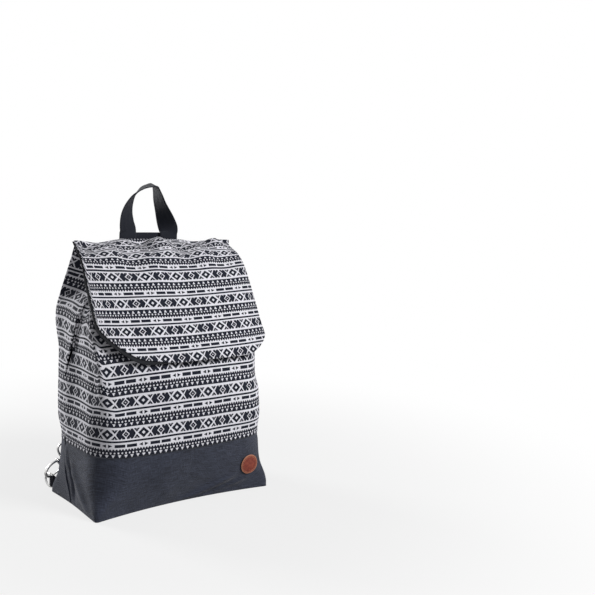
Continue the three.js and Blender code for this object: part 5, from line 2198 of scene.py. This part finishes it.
@dataclass
class Studio:
    """Camera at the photograph's angle, pale floor and soft light."""

    azimuth: float = -39.5
    elevation: float = 8.0
    roll: float = 3.3
    focal: float = 900.0
    image: float = 595.0
    distance: float = 1.524
    target: tuple[float, float, float] = (0.254, 0.0, 0.288)
    sensor: float = 36.0
    ambient: float = 0.17
    floor_radius: float = 7.0
    floor_z: float = -0.0006
    floor_white: float = 0.76
    floor_fade: tuple[float, float] = (0.25, 0.9)
    floor_grey: Colour = (0.55, 0.55, 0.55, 1.0)
    lamp_aim: tuple[float, float, float] = (0.0, 0.0, 0.2)
    lamps: tuple[Lamp, ...] = (
        Lamp("key", (1.2, -1.85, 1.8), 1.0, 66.0),
        Lamp("rim", (-0.9, 2.2, 0.8), 0.8, 62.0),
    )

    def build_camera(self) -> None:
        """Camera that looks at the target from the photograph's direction, rolled about its own axis."""
        a, e, r = (math.radians(value) for value in (self.azimuth, self.elevation, self.roll))
        back = np.array([math.sin(a) * math.cos(e), -math.cos(a) * math.cos(e), math.sin(e)])
        right = unit(np.cross(-back, UPWARDS))
        up = np.cross(right, -back)
        side = math.cos(r) * right + math.sin(r) * up
        top = -math.sin(r) * right + math.cos(r) * up
        place = np.array(self.target) + self.distance * back
        data = bpy.data.cameras.new("camera")
        data.sensor_fit = "HORIZONTAL"
        data.sensor_width = self.sensor
        data.lens = self.sensor * self.focal / self.image
        camera = bpy.data.objects.new("camera", data)
        self.set_place(camera, side, top, back, place)
        bpy.context.scene.camera = camera

    @staticmethod
    def set_place(thing: bpy.types.Object, *columns: Any) -> None:
        """Puts a camera or lamp into the scene.

        Args:
            thing: Camera or lamp.
            columns: Its three directions and its place.
        """
        rows = np.eye(4)
        rows[:3] = np.stack(columns, -1)
        thing.matrix_world = Matrix(rows.tolist())
        bpy.context.scene.collection.objects.link(thing)

    def build_lamp(self, lamp: Lamp) -> None:
        """Lamp that points at the middle of the bag.

        Args:
            lamp: What the lamp is like.
        """
        data = bpy.data.lights.new(lamp.name, "AREA")
        data.shape = "SQUARE"
        data.size = lamp.size
        data.energy = lamp.power
        back = unit(np.array(lamp.place) - np.array(self.lamp_aim))
        right = unit(np.cross(UPWARDS, back))
        thing = bpy.data.objects.new(lamp.name, data)
        self.set_place(thing, right, np.cross(back, right), back, lamp.place)

    def build_world(self) -> None:
        """White to the camera and in mirrored and clear things, a soft even light to the rest."""
        kit = NodeKit(bpy.data.worlds.new("studio"))
        camera, glossy, clear = (kit.node("ShaderNodeLightPath", out=f"Is {kind} Ray")
                                 for kind in ("Camera", "Glossy", "Transmission"))
        white = camera | glossy | clear
        strength = kit.node("ShaderNodeMapRange", None, {0: white, 3: self.ambient, 4: 1.0})
        kit.join(kit.node("ShaderNodeBackground", None, {"Color": WHITE, "Strength": strength}))
        bpy.context.scene.world = kit.owner

    def build_floor(self) -> None:
        """Wide pale disc; towards its rim it turns into the white of the background."""
        sides = 96
        reach = np.array([0.05, 0.3, 0.8, 2.0, 4.0, self.floor_radius])
        flat = reach[:, None, None] * circle(sides)[None]
        points = np.concatenate([flat, np.full(flat.shape[:2] + (1,), self.floor_z)], -1).reshape(-1, 3)
        faces = grid_faces(len(reach), sides, wrap=True).tolist() + [list(range(sides))]
        mesh = bpy.data.meshes.new("floor")
        mesh.from_pydata(points.tolist(), [], faces)
        kit = NodeKit(bpy.data.materials.new("pale_floor"))
        away = kit.length(kit.place())
        seen = kit.node("ShaderNodeLightPath", out="Is Camera Ray")
        share = (self.floor_white + away.ramp(*self.floor_fade) * (1 - self.floor_white)) * seen
        matt = kit.node("ShaderNodeBsdfDiffuse", None, {"Color": self.floor_grey})
        glow = kit.node("ShaderNodeEmission", None, {"Color": WHITE, "Strength": 1.0})
        kit.join(kit.node("ShaderNodeMixShader", None, {0: share, 1: matt, 2: glow}))
        mesh.materials.append(kit.owner)
        floor = bpy.data.objects.new("floor", mesh)
        bpy.context.scene.collection.objects.link(floor)

    def build(self) -> None:
        """Whole studio."""
        bpy.context.scene.view_settings.view_transform = "Standard"
        self.build_camera()
        self.build_world()
        for lamp in self.lamps:
            self.build_lamp(lamp)
        self.build_floor()


def main() -> None:
    """Builds the studio and every sub-assembly in order."""
    logging.basicConfig(level=logging.INFO, format="%(name)s %(message)s")
    Studio().build()
    body = BagBody()
    body.build_lining()
    body.build_front()
    body.build_back()
    body.build_canvas()
    body.build_seams()
    Flap().build()
    CarryHandle().build()
    LeatherPatch().build()
    Closure().build()
    for side in Side:
        CornerRing(side).build()
        ClipHook(side).build()
        ShoulderStrap(side).build()


if __name__ == "__main__":
    main()
